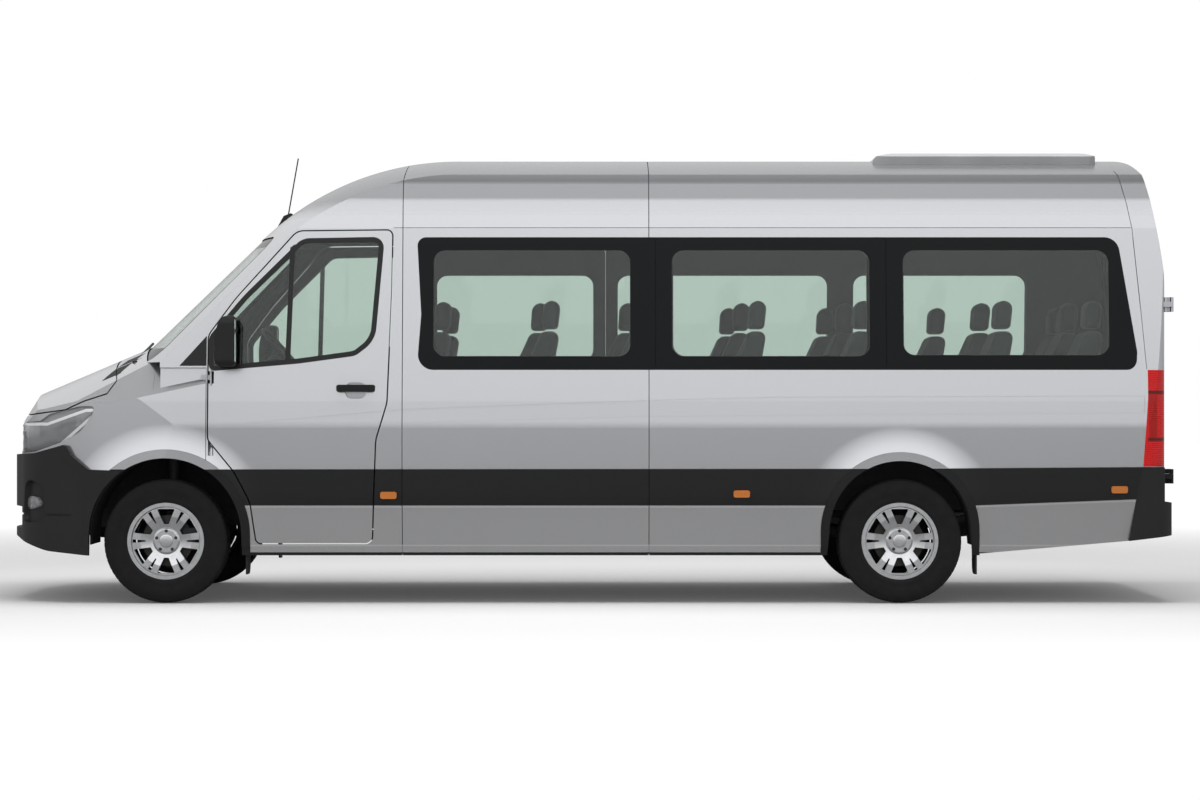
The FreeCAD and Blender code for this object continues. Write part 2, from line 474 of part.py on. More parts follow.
# ---------------------------------------------------------------- nose
HEADLAMP = [(X_FRONT - 1020, 868), (X_FRONT - 1020, 1052), (X_FRONT - 765, 1073), (X_FRONT - 700, 1115, 60),
            (X_FRONT - 507, 1160, 200), (X_FRONT - 408, 1160, 20), (X_FRONT - 435, 1102, 40),
            (X_FRONT - 500, 1010, 150), (X_FRONT - 640, 942, 200), (X_FRONT - 800, 890)]
BUMPER_SIDE = [(X_NOSE - 60, 402), (X_NOSE + 60, 372, 60), (X_NOSE + 280, 304, 300), (X_FRONT - 400, SILL_HEIGHT - 4),
               (X_FRONT - 250, 780), (X_FRONT - 450, 788, 40), (X_FRONT - 560, 870, 60), (X_FRONT - 600, 934, 20),
               (X_FRONT - 800, 882), (X_NOSE - 60, 862)]
BUMPER_PLAN = both_y([(X_NOSE, HALF - 590, 800), (X_NOSE + 150, HALF - 190, 330), (X_FRONT - 470, HALF + 2, 300),
                      (X_FRONT + 60, HALF + 2)])
GRILLE = both([(NOSE_HALF - 40, 886, 30), (NOSE_HALF, 1066, 40)])
ring = along_z(BUMPER_PLAN, 200, 1000).cut(along_z(BUMPER_PLAN, 199, 1001, 40))
bumper_zone = along_y(BUMPER_SIDE, -HALF - 50, HALF + 50)
bumper = ring.common(bumper_zone).cut(arch(*ARCHES[0][:4]))
bumper = bumper.cut(block(X_NOSE - 60, X_FRONT - 600, -HALF + 330, HALF - 330, 430, 560))
fog_hole = along_x([(HALF - 290, 470, 40), (HALF - 130, 470, 40), (HALF - 130, 700, 60), (HALF - 250, 740, 60)],
                   X_NOSE - 50, X_FRONT - 500).cut(along_z(BUMPER_PLAN, 200, 1000, 28))
bumper = bumper.cut(fog_hole.fuse(mirrored(fog_hole)))
ledge = along_z(BUMPER_PLAN, 512, 524, -10).cut(along_z(BUMPER_PLAN, 511, 525, 7))
bumper = bumper.cut(ledge.common(block(X_NOSE - 60, X_FRONT - 560, -HALF - 50, HALF + 50, 500, 540)))
node("front_bumper", bumper)

shut = along_y(SHUT, -HALF - 50, HALF + 50)
headlamp_zone = along_y(HEADLAMP, NOSE_HALF, HALF + 50)
headlamp_zone = headlamp_zone.fuse(mirrored(headlamp_zone))
grille_zone = along_x(GRILLE, X_NOSE - 50, X_NOSE + 300)
cowl_line = tilted_cylinder(COWL + V(-104, 0, 0), SCREEN_SLOPE, 0)
bonnet = nose.common(along_y(SHUT, -HALF - 50, HALF + 50, PANEL_GAP)).cut(cowl_line)
# bonnet hinges: lugs under the bonnet swing up through slots in the cowl
HINGE_X, HINGE_Z, LUG_Y = X_FRONT - 216.5, 1400.0, NOSE_HALF
lug = along_y([(HINGE_X - 200, 1322), (HINGE_X - 135, 1352), (HINGE_X - 10, 1412), (HINGE_X + 11, 1408),
               (HINGE_X + 11, 1390), (HINGE_X - 130, 1318)], LUG_Y - 4, LUG_Y + 8)
lug = lug.cut(rod(V(HINGE_X, LUG_Y - 10, HINGE_Z), V(HINGE_X, LUG_Y + 10, HINGE_Z), BORE))
lug = lug.fuse(block(HINGE_X - 200, HINGE_X - 140, LUG_Y - 4, LUG_Y + 8, 1322, 1420).common(nose_volume(1, X_DOOR)))
bonnet = bonnet.fuse([lug, mirrored(lug)])
node("bonnet", bonnet)
slot = block(HINGE_X - 190, HINGE_X + 20, LUG_Y - 12, LUG_Y + 16, 1300, 1500)
cowl = nose.common(shut).common(tilted_cylinder(COWL + V(-96, 0, 0), SCREEN_SLOPE, 0))
cowl = cowl.cut(outer).cut(slot.fuse(mirrored(slot)))
node("cowl_panel", cowl)
chin = block(X_NOSE - 60, X_FRONT - 200, -HALF - 50, HALF + 50, 0, 500)      # the bumper alone reaches this low
front = nose.cut([shut, bumper_zone, headlamp_zone, chin])
front = front.cut([outer.common(block(X_NOSE, X_TAIL, -HALF, HALF, 1388, 3000)),
                   cabin_volume(SKIN + 1, X_BULKHEAD)])
GRILLE_FRAME = 20.0
frame_zone = along_x(GRILLE, X_NOSE - 50, X_NOSE + 300, -GRILLE_FRAME)
front = front.cut(frame_zone)
centre = block(X_NOSE, X_FRONT - 700, -NOSE_HALF, NOSE_HALF, 0, 1300)
node("front_panel", front.common(centre).cut(grille_zone))
node("wings", front.cut(centre).cut(walls))
lamps = nose_volume(1.0, X_DOOR).cut(nose_volume(60.0, X_DOOR + 1)).common(along_y(HEADLAMP, NOSE_HALF, HALF + 50, 1.0))
pair("front_lamps", lamps.cut(bumper_zone))
fog_layer = along_z(BUMPER_PLAN, 500, 700, 10).cut(along_z(BUMPER_PLAN, 499, 701, 28))
pair("front_lamps", fog_layer.common(rod(V(X_NOSE, HALF - 210, 588), V(X_NOSE + 400, HALF - 210, 588), 38)))
grille_shape = nose_volume(6.0, X_DOOR).cut(nose_volume(30.0, X_DOOR + 1))
grille_shape = grille_shape.common(along_x(GRILLE, X_NOSE - 50, X_NOSE + 300, 0.3))
for z in (912, 968, 1024):       # slots between the grille's bars
    grille_shape = grille_shape.cut(along_x(rounded(70 - NOSE_HALF, NOSE_HALF - 70, z - 16, z + 16, 10), X_NOSE - 50, X_NOSE + 300))
surround = nose_volume(0.5, X_DOOR).cut(nose_volume(20.0, X_DOOR + 1))
surround = surround.common(along_x(GRILLE, X_NOSE - 50, X_NOSE + 300, -GRILLE_FRAME + 0.3))
node("grille", grille_shape.fuse(surround.cut([grille_zone, bumper_zone, shut, headlamp_zone])))
node("radiator", block(X_NOSE + 200, X_NOSE + 249.7, 590 - HALF, HALF - 590, 430, 860))

# ---------------------------------------------------------------- floor and underside
seated = along_x(SECTION, X_NOSE, X_TAIL, WALL + 0.3).common(along_z(PLAN, 0, ROOF_HEIGHT, WALL + 6))
floor = block(X_BULKHEAD + 42, X_BACK, -HALF, HALF, UNDERFLOOR, FLOOR_HEIGHT)
bulkhead = block(X_BULKHEAD + 2, X_BULKHEAD + 41.7, -HALF, HALF, UNDERFLOOR, COWL.z - 83)
hinge_arm = block(HINGE_X - 12, X_BULKHEAD + 3, LUG_Y + 8.3, LUG_Y + 17, 1382, 1404)
hinge_arm = hinge_arm.fuse(rod(V(HINGE_X, LUG_Y - 8, HINGE_Z), V(HINGE_X, LUG_Y + 9, HINGE_Z), PIN))
floor = floor.fuse([bulkhead.common(nose_volume(SKIN + 1, X_DOOR)), hinge_arm, mirrored(hinge_arm)])
houses = []    # room kept round the wheel housings, with 0.3 mm to spare
for axle, radius, top, splay, inner in ARCHES:
    room, liner = arch(axle, radius, top, splay), arch(axle, radius + 8, top + 8, splay)
    low = block(axle - 900, axle + 900, -HALF, HALF, 0, SILL_HEIGHT + 60)
    low = low.fuse(block(axle - 900, axle + 900, -inner - 60, inner + 60, 0, 540))
    for side in (1, -1):
        well = block(axle - 700, axle + 700, side * inner, side * HALF, 0, top + 300)
        cover = block(axle - 700, axle + 700, side * (inner - 8), side * HALF, 0, top + 300)
        floor = floor.cut(liner.common(cover)).fuse(liner.common(cover).cut(room.common(well)).cut(low))
        houses.append(arch(axle, radius + 8.3, top + 8.3, splay).common(
            block(axle - 700, axle + 700, side * (inner - 8.3), side * HALF, 0, top + 300)))
floor = floor.common(seated.fuse(block(X_NOSE, X_BULKHEAD + 3, 310 - HALF, HALF - 310, 1300, 1450)))
sweep = along_y([(p[0], p[1]) for p in DOOR], HALF - WALL - 12, HALF + 50, -PANEL_GAP)
floor = floor.cut(sweep.fuse(mirrored(sweep)))
houses = houses[0].fuse(houses[1:])
for z0, z1 in ((0, FLOOR_HEIGHT), (FLOOR_HEIGHT + 0.3, ROOF_HEIGHT)):     # the plate, and the boxes seated on it
    node("floor_pan", floor.common(block(X_NOSE, X_TAIL, -HALF, HALF, z0, z1)))
JACK_PAD = V(X_FRONT + 760, sum(RAIL) / 2, 545)
TOW_BOLTS, TOW_BOLT_HOLE = V(X_BACK - 200, 0, 610), 6.5    # tow-bar bolts cross the rails' rear ends
rails = [block(X_NOSE + 250, X_BACK - 90, s * RAIL[0], s * RAIL[1], 560, UNDERFLOOR) for s in (1, -1)]
rails += [block(x - 30, x + 30, -RAIL[0], RAIL[0], 590, 640)
          for x in (X_NOSE + 300, X_FRONT + 330, X_REAR - 900, X_BACK - 300)]
rails += [block(JACK_PAD.x - 35, JACK_PAD.x + 35, s * (RAIL[0] + 3), s * (RAIL[1] - 3), JACK_PAD.z, 565) for s in (1, -1)]
chassis = rails[0].fuse(rails[1:]).cut(block(X_NOSE, X_BULKHEAD + 41, -HALF, HALF, 700, 900))
tow_holes = [rod(TOW_BOLTS + V(u, -HALF, w), TOW_BOLTS + V(u, HALF, w), TOW_BOLT_HOLE)
             for u in (-60, 60) for w in (-30, 30)]
chassis = chassis.cut(tow_holes[0].fuse(tow_holes[1:]))
node("chassis_rails", chassis)
node("engine_block", block(X_FRONT - 640, X_FRONT - 150, -250, 250, 420, 1010))
gearbox = block(X_FRONT - 149.7, X_FRONT + 480, -150, 150, 430, 589.7)
node("driveline", gearbox, rod(V(X_FRONT + 481.6, 0, 500), V(X_REAR - 190, 0, TYRE_RADIUS + 15), 38))
axle_z, hub_end = TYRE_RADIUS, TRACK / 2 - 30
rear_axle = rod(V(X_REAR, -hub_end + 60, axle_z), V(X_REAR, hub_end - 60, axle_z), 48)
rear_axle = rear_axle.fuse([rod(V(X_REAR, -130, axle_z), V(X_REAR, 130, axle_z), 150),
                            rod(V(X_REAR - 185, 0, axle_z + 15), V(X_REAR, 0, axle_z), 60),
                            rod(V(X_REAR, -hub_end - 60, axle_z), V(X_REAR, hub_end + 60, axle_z), 24)])
node("rear_axle", rear_axle)
spring_top, spring_low = UNDERFLOOR, axle_z + 48
arc_pts = [(X_REAR - 680, 560), (X_REAR, spring_low + 2), (X_REAR + 680, 560)]


def spring_leaf():
    up = V(0, 0, 34)
    ends = [V(x, SPRING_Y, z) for x, z in arc_pts]
    low, high = Part.Arc(*ends).toShape(), Part.Arc(*[e + up for e in ends]).toShape()
    sides = [Part.LineSegment(e, e + up).toShape() for e in (ends[0], ends[2])]
    return Part.Face(Part.Wire([low, sides[1], high, sides[0]])).extrude(V(0, 75, 0))


leaf = spring_leaf().fuse([rod(V(x, SPRING_Y - 10, 578), V(x, SPRING_Y + 85, 578), 30) for x in (X_REAR - 680, X_REAR + 680)])
leaf = leaf.fuse([block(x - 28, x + 28, SPRING_Y - 10, SPRING_Y + 85, 578, spring_top) for x in (X_REAR - 680, X_REAR + 680)])
saddle = block(X_REAR - 60, X_REAR + 60, SPRING_Y + 5, SPRING_Y + 70, axle_z + 20, spring_low + 10)
saddle = saddle.cut(rod(V(X_REAR, 0, axle_z), V(X_REAR, HALF, axle_z), 48.2))
pair("leaf_springs", leaf.fuse(saddle))
node("fuel_tank", along_y([(X_FRONT + 1250, 340, 60), (X_FRONT + 2250, 340, 60), (X_FRONT + 2250, spring_top, 20),
                           (X_FRONT + 1250, spring_top, 20)], 150 - HALF, -RAIL[1] - 30))
skirt_inside = along_x(SECTION, X_NOSE, X_TAIL, SKIN + 0.5)
skirt_inside = skirt_inside.fuse(block(X_NOSE, X_TAIL, -HALF + 76, HALF - 76, 0, SILL_HEIGHT + SKIN + 2))
pipe = rod(V(X_FRONT - 149, 250, 480), V(X_BACK - 120, 250, 480), 28)
pipe = pipe.fuse([rod(V(X_REAR - 1400, 250, 480), V(X_REAR - 750, 250, 480), 95),
                  block(X_REAR - 1100, X_REAR - 1060, 235, 265, 480, 661),
                  block(X_BACK - 400, X_BACK - 370, 240, 260, 480, 661)])
node("exhaust", pipe.cut(block(X_NOSE, X_TAIL, -HALF, HALF, spring_top, 900)))
for x in (X_FRONT + 474, X_REAR + 452):
    flap = along_x([(HALF - 220, 168, 60), (HALF, 168, 60), (HALF, 560), (HALF - 220, 560)], x - 6, x + 6)
    pair("mud_flaps", flap.common(skirt_inside))

# ---------------------------------------------------------------- wheels, hubs and steering
KING_Y = TRACK / 2 - 82
RIM_BORE = RIM_RADIUS - 34
DISC_RADIUS = RIM_BORE - 54
KING_LOW, KING_HIGH = RIM_BORE - 79, RIM_BORE - 54


def wheel(side):
    """Tyre and six-spoke rim of a right-hand or left-hand wheel, about the origin, outboard along side * Y."""
    w, r = TYRE_WIDTH / 2, TYRE_RADIUS
    tyre = turned([(RIM_RADIUS - 12, -w + 18), (RIM_RADIUS + 20, -w + 4, 20), (r - 50, -w, 40), (r, -w + 22, 28),
                   (r, w - 22, 28), (r - 50, w, 40), (RIM_RADIUS + 20, w - 4, 20), (RIM_RADIUS - 12, w - 18)], 0, 0, 0)
    barrel = turned([(RIM_BORE, -w + 20), (RIM_RADIUS - 12, -w + 20), (RIM_RADIUS - 12, w - 20),
                     (RIM_BORE, w - 20)], 0, 0, 0)
    face = turned([(24.5, 30), (RIM_RADIUS - 33, 58), (RIM_RADIUS - 33, 84, 10), (RIM_RADIUS - 88, 84), (80, 62), (70, 72, 8),
                   (24.5, 72)], 0, 0, 0)
    for k in range(6):
        mid = 60 * k
        for off, half_in, half_out in ((30, 8, 15.5), (0, 1.6, 3.0)):
            a0, r_in, r_out = mid + off, 100 if off else 120, RIM_RADIUS - 42
            polar = [(r_in, a0 - half_in), (r_out, a0 - half_out), (r_out, a0 + half_out), (r_in, a0 + half_in)]
            pts = [(q * math.cos(math.radians(a)), q * math.sin(math.radians(a))) for q, a in polar]
            face = face.cut(along_y([(x, z, 6 if off else 2) for x, z in pts], 0, 150))
    hub = turned([(24.5, -30), (70, -30), (70, 31), (24.5, 31)], 0, 0, 0)
    disc = turned([(60, -12), (DISC_RADIUS, -12), (DISC_RADIUS, 14), (60, 14)], 0, 0, 0)
    rim = barrel.fuse([face, hub, disc]).removeSplitter()
    return (tyre, rim) if side > 0 else (mirrored(tyre), mirrored(rim))


for axle_name, axle_x in (("front", X_FRONT), ("rear", X_REAR)):
    for side_name, side in (("right", 1), ("left", -1)):
        for kind, shape in zip(("tyre", "wheel"), wheel(side)):
            shape.translate(V(axle_x, side * TRACK / 2, axle_z))
            node(f"{axle_name}_{side_name}_{kind}", shape)

knuckle = rod(V(X_FRONT, TRACK / 2 + 40, axle_z), V(X_FRONT, KING_Y, axle_z), 24)
knuckle = knuckle.fuse([rod(V(X_FRONT, TRACK / 2 - 42, axle_z), V(X_FRONT, KING_Y - 10, axle_z), 62),
                        rod(V(X_FRONT, KING_Y, axle_z - KING_LOW), V(X_FRONT, KING_Y, axle_z + KING_HIGH), 24),
                        block(X_FRONT + 20, X_FRONT + 120, TRACK / 2 - 60, TRACK / 2 - 42, axle_z - 20, axle_z + 60)])
caliper = block(X_FRONT + 95, X_FRONT + 185, TRACK / 2 - 60, TRACK / 2 + 30, axle_z - 55, axle_z + 75)
caliper = caliper.common(rod(V(X_FRONT, 0, axle_z), V(X_FRONT, HALF, axle_z), RIM_BORE - 10))
caliper = caliper.cut(rod(V(X_FRONT, TRACK / 2 - 18, axle_z), V(X_FRONT, TRACK / 2 + 20, axle_z), DISC_RADIUS + 6))
knuckle = knuckle.fuse(caliper)
node("right_knuckle", knuckle)
node("left_knuckle", mirrored(knuckle))
lower_arm = along_z([(X_FRONT - 170, RAIL[0] - 20), (X_FRONT + 170, RAIL[0] - 20), (X_FRONT + 35, KING_Y + 30, 30),
                     (X_FRONT - 35, KING_Y + 30, 30)], axle_z - KING_LOW - 40, axle_z - KING_LOW - 0.3)
strut_foot, strut_top = V(X_FRONT, KING_Y - 180, axle_z - KING_LOW - 5), V(X_FRONT, KING_Y - 165, 990)
upper_arm = along_z([(X_FRONT - 90, RAIL[0] + 40), (X_FRONT + 90, RAIL[0] + 40), (X_FRONT + 30, KING_Y + 24, 28),
                     (X_FRONT - 30, KING_Y + 24, 28)], axle_z + KING_HIGH + 0.3, axle_z + KING_HIGH + 22)
upper_arm = upper_arm.cut(rod(strut_foot, strut_top, 44))
strut = rod(strut_foot, strut_top, 38).common(arch(X_FRONT, 446.7, 854.7, 8))
subframe = block(X_FRONT - 120, X_FRONT + 120, -RAIL[0], RAIL[0], axle_z - 160, axle_z - 60)
hanger = block(X_FRONT - 60, X_FRONT + 60, RAIL[0], RAIL[1] - 10, axle_z - 160, 559.7)
sides = [part for one in (hanger, lower_arm, upper_arm, strut) for part in (one, mirrored(one))]
node("front_suspension", subframe.fuse(sides))

# ---------------------------------------------------------------- fittings outside
UNIT_HEIGHT = 50.0
UNIT = [(X_REAR - 112, ROOF_HEIGHT - 120), (X_REAR - 112, ROOF_HEIGHT - 4, 40), (X_REAR + 100, ROOF_HEIGHT + 62, 160),
        (X_REAR + 1160, ROOF_HEIGHT + 62, 40), (X_REAR + 1230, ROOF_HEIGHT - 2, 20), (X_REAR + 1230, ROOF_HEIGHT - 120)]
unit = along_y(UNIT, -560, 560).common(along_z(both_y([(X_REAR - 120, 520, 90), (X_REAR + 1240, 520, 60)]),
                                               ROOF_HEIGHT - 120, ROOF_HEIGHT + 100))
unit_top = Part.makeCylinder(CROWN, 9000, V(X_NOSE, 0, ROOF_HEIGHT + UNIT_HEIGHT - CROWN), V(1, 0, 0))
unit_seat = Part.makeCylinder(CROWN, 9000, V(X_NOSE, 0, ROOF_HEIGHT + 0.3 - CROWN), V(1, 0, 0))
unit = unit.common(unit_top).cut(unit_seat)
node("roof_unit", unit)
ax = screen_x(DRIP) + 24
antenna = along_y([(ax, DRIP + 20), (ax + 130, DRIP + 115), (ax + 110, DRIP + 150, 14),
                   (ax + 60, DRIP + 130, 14)], -16, 16)
antenna = antenna.fuse(rod(V(ax + 80, 0, DRIP + 90), V(ax + 150, 0, ROOF_HEIGHT + 28), 4)).cut(outer)
node("antenna", antenna)
for x, z in ((X_FRONT + 1316, 637), (X_FRONT + 3391, 645), (X_TAIL - 357, 670)):
    marker = along_y(rounded(x - 48, x + 48, z - 21, z + 21, 12), HALF - 25, HALF + 14)
    pair("side_markers", marker.cut([outer, proud]))
housing = along_x([(HALF + 36, 1470, 30), (HALF + 60, 1392, 30), (HALF + 162, 1392, 40), (HALF + 162, 1690, 50),
                   (HALF + 60, 1690, 40), (HALF + 36, 1640, 30)], X_FRONT + 312, X_FRONT + 430)
mirror_arm = along_x([(HALF - 60, 1400), (HALF + 90, 1400), (HALF + 90, 1440), (HALF - 60, 1450)],
                     X_FRONT + 320, X_FRONT + 400).cut(along_x(SECTION, X_FRONT, X_SEAM))
housing = housing.common(along_y([(X_FRONT + 312, 1392, 50), (X_FRONT + 430, 1392, 24), (X_FRONT + 430, 1690, 24),
                                  (X_FRONT + 345, 1690, 60), (X_FRONT + 312, 1560, 300)], HALF, HALF + 200))
mirror_recess = along_x([(HALF + 52, 1412, 20), (HALF + 150, 1412, 26), (HALF + 150, 1674, 30), (HALF + 60, 1674, 26)],
                     X_FRONT + 424, X_FRONT + 440)
mirror = housing.cut(mirror_recess).fuse(mirror_arm)
node("right_mirror", mirror)
node("left_mirror", mirrored(mirror))


def on_screen(y, up, off):
    """Point on the glass: so far across, up the slope from the foot, and off the surface."""
    c, n = math.cos(math.radians(SCREEN_SLOPE)), math.sin(math.radians(SCREEN_SLOPE))
    depth = y * y / (2 * CROWN)
    return COWL + V(c, 0, n) * up + V(-n, 0, c) * (off - depth) + V(0, y, 0)


for y0 in (-640, 40):
    pivot, tip = on_screen(y0, -58, 26), on_screen(y0 + 580, 40, 22)
    post = rod(pivot - V(0, 0, 70), pivot + V(0, 0, 8), 15)
    node("wipers", post.fuse(rod(pivot, tip, 8)).cut(nose_volume(0, X_DOOR)).cut(outer))

# ---------------------------------------------------------------- cab and seats
dash_half = HALF - WALL - 12
dash = along_y([(X_BULKHEAD + 42, 1372), (X_DOOR + 190, 1340, 60), (X_DOOR + 240, 1190, 70), (X_DOOR + 130, 980, 80),
                (X_DOOR - 10, 760, 60), (X_BULKHEAD + 42, 760)], -dash_half, dash_half)
dash = dash.common(cabin_volume(WALL + 8, X_BULKHEAD + 42.3)).cut(houses)
dash = dash.cut(sweep.fuse(mirrored(sweep)))
node("dashboard", dash)
tilt = math.radians(49)
WHEEL_Y = 540.0 - HALF
wheel_hub = V(X_FRONT + 642, WHEEL_Y, 1480)
wheel_axis = V(math.sin(tilt), 0, math.cos(tilt))
rim_ring = Part.makeTorus(185, 15, wheel_hub, wheel_axis)
boss = rod(wheel_hub - wheel_axis * 50, wheel_hub, 52)
plane_x = V(math.cos(tilt), 0, -math.sin(tilt))
spokes = [rod(wheel_hub - wheel_axis * 22, wheel_hub + d * 185, 11) for d in (V(0, 1, 0), V(0, -1, 0), plane_x)]
node("steering_wheel", rim_ring.fuse([boss] + spokes))
node("steering_column", rod(wheel_hub - wheel_axis * 51, wheel_hub - wheel_axis * 330, 38).cut(dash))

# seats stand in rows of a window and an aisle seat, the aisle seat a little ahead, with single seats opposite
LEFT_ROWS = [X_SEAM + u for u in (865, 1400, 2097, 2726, 3564, 4098)]
RIGHT_ROWS = [X_SEAM + u for u in (1400, 1983, 2610, 3327, 4098)]
CAB_SEAT = X_PILLAR + 262
SEAT_HALF, SEAT_SIDE, SEAT_SPACE = 205.0, 125.0, 8.0     # half a seat, its room to the wall, and between two seats
WINDOW_SEAT, AISLE_LEAD = HALF - SEAT_HALF - SEAT_SIDE, 75.0
AISLE_SEAT = WINDOW_SEAT - 2 * SEAT_HALF - SEAT_SPACE
seat_spots = [(x, -WINDOW_SEAT) for x in LEFT_ROWS] + [(x - AISLE_LEAD, -AISLE_SEAT) for x in LEFT_ROWS]
seat_spots += [(x, WINDOW_SEAT) for x in RIGHT_ROWS] + [(RIGHT_ROWS[-1], AISLE_SEAT)]
seat_spots += [(CAB_SEAT, WHEEL_Y), (CAB_SEAT, -WHEEL_Y)]
CUSHION_HEIGHT = 1100.0


def seat(x, y, cushion_z):
    back = along_y([(x - 185, cushion_z + 20, 50), (x - 35, cushion_z + 20, 40), (x + 52, cushion_z + 508, 44),
                    (x - 58, cushion_z + 508, 44), (x - 140, cushion_z + 330, 200)], y - SEAT_HALF, y + SEAT_HALF)
    cushion = along_y([(x - 560, cushion_z - 95, 30), (x - 186, cushion_z - 95, 30), (x - 186, cushion_z + 10, 40),
                       (x - 560, cushion_z + 25, 40)], y - SEAT_HALF, y + SEAT_HALF)
    head = along_y([(x - 46, cushion_z + 519, 24), (x + 52, cushion_z + 519, 24), (x + 72, cushion_z + 690, 44),
                    (x - 36, cushion_z + 690, 50)], y - 122, y + 122)
    posts = [rod(V(x + 4, y + s, cushion_z + 480), V(x + 4, y + s, cushion_z + 560), 7).cut(back)
             for s in (60, -60)]
    return cushion, back, head.fuse(posts)


for x, y in seat_spots:
    cushion_z = CUSHION_HEIGHT
    cushion, back, head = seat(x, y, cushion_z)
    node("seat_cushions", cushion)
    node("seat_backs", back)
    node("headrests", head)
    tray = block(x - 540, x - 120, y - 190, y + 190, cushion_z - 130, cushion_z - 95.3)
    legs = [block(leg_x, leg_x + 50, y - 150, y + 150, FLOOR_HEIGHT, cushion_z - 130)
            for leg_x in (x - 480, x - 200)]
    hinge = block(x - 184.7, x - 60, y - 190, y + 190, cushion_z - 130, cushion_z + 19.7)
    node("seat_frames", tray.fuse(legs + [hinge]).cut(houses))

for name, shapes in NODES.items():
    Part.makeCompound(shapes).exportStep(f"parts/{name}.step")
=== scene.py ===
"""Looks of a long high-roof minibus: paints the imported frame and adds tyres, seats, lamps, trim and a studio."""

import math
from functools import cached_property

import bpy
import numpy as np
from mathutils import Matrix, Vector
from mathutils.bvhtree import BVHTree
from bpy.props import FloatProperty, FloatVectorProperty, IntProperty, PointerProperty


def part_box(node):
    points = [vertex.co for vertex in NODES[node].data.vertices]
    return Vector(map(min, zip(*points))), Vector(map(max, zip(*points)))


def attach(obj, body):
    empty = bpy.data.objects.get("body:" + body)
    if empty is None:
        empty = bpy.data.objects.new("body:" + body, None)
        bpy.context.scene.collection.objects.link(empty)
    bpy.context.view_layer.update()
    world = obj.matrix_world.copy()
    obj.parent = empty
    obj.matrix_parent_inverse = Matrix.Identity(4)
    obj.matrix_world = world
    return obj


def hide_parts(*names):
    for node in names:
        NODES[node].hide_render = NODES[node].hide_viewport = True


bl_info = {
    "name": "Minibus finisher",
    "version": (1, 0, 0),
    "blender": (4, 5, 0),
    "location": "View3D > Sidebar > Minibus",
    "description": "Paints and fits out a long high-roof passenger minibus",
    "category": "Object",
}

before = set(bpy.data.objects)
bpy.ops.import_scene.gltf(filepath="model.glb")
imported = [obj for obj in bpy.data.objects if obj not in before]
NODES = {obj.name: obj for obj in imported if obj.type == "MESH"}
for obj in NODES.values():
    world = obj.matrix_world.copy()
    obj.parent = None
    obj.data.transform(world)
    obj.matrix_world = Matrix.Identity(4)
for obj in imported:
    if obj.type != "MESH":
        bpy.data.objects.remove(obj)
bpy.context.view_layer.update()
SIDES = (("left", -1.0), ("right", 1.0))


# ------------------------------------------------------------------ settings
def colour_setting(name, text, value):
    return FloatVectorProperty(name=name, description=text, default=value, size=3, min=0.0, max=1.0, subtype="COLOR")


def length_setting(name, text, value):
    return FloatProperty(name=name, description=text, default=value, min=0.0, unit="LENGTH")


def strength_setting(name, text, value, **kind):
    return FloatProperty(name=name, description=text, default=value, min=0.0, **kind)


class MINIBUS_PG_body(bpy.types.PropertyGroup):
    """Colours of the painted shell and its mouldings, with darker silvers as painted shade on the tops and the lower
    panels.
    """
    paint: colour_setting("Paint", "Silver of the upper panels", (0.62, 0.63, 0.65))
    # Slightly darker flat silver below the moulding: painted shade on the lower panels.
    shaded_lower_paint: colour_setting("Lower paint", "Silver below the side moulding", (0.62, 0.625, 0.635))
    # The roof and bonnet silvers below are painted shade: darker tints for their upward-facing tops.
    roof_shade: colour_setting("Roof", "Silver of the roof's upper side", (0.20, 0.205, 0.212))
    bonnet: colour_setting("Bonnet", "Silver of the bonnet's upper side", (0.58, 0.59, 0.60))
    moulding: colour_setting("Moulding", "Charcoal of bumpers, side band and cladding", (0.013, 0.0133, 0.0140))
    lining: colour_setting("Lining", "Plastic lining inside the walls", (0.026, 0.034, 0.032))
    band_low: length_setting("Band foot", "Height of the side band's lower edge", 0.577)
    band_high: length_setting("Band top", "Height of the side band's upper edge", 0.789)


class MINIBUS_PG_glass(bpy.types.PropertyGroup):
    """Window glass and its printed border."""
    tint: colour_setting("Tint", "Colour of light through a pane", (0.625, 0.714, 0.666))
    border: colour_setting("Border", "Black print round a pane", (0.008, 0.009, 0.010))


class MINIBUS_PG_wheels(bpy.types.PropertyGroup):
    """Tyre tread."""
    blocks: IntProperty(name="Tread blocks", description="Blocks round each tyre", default=66, min=20, max=120)
    groove: length_setting("Groove depth", "Depth of the tread grooves", 0.008)


class MINIBUS_PG_cabin(bpy.types.PropertyGroup):
    """Seat cloth."""
    cloth: colour_setting("Seat cloth", "Dark woven cloth", (0.016, 0.021, 0.020))
    crown: length_setting("Crown", "How far a cushion's face stands up at its middle", 0.012)


class MINIBUS_PG_stage(bpy.types.PropertyGroup):
    """Floor, light and camera."""
    floor: colour_setting("Floor", "Pale studio floor", (0.90, 0.90, 0.90))
    key: strength_setting("Key light", "Power of the overhead light", 520.0, subtype="POWER")
    fill: strength_setting("Fill light", "Power of the side light", 45.0, subtype="POWER")
    ambient: strength_setting("Ambient", "Strength of the even surrounding light", 0.42)
    gloss: strength_setting("Gloss", "Strength of the studio seen in glossy surfaces", 1.15)
    glow: strength_setting("Floor glow", "White added to the floor where it is seen", 0.06)
    lens: FloatProperty(name="Lens", description="Focal length of the camera", default=86.8, min=10.0, unit="CAMERA")


GROUPS = (("minibus_body", MINIBUS_PG_body), ("minibus_glass", MINIBUS_PG_glass), ("minibus_wheels", MINIBUS_PG_wheels),
          ("minibus_cabin", MINIBUS_PG_cabin), ("minibus_stage", MINIBUS_PG_stage))


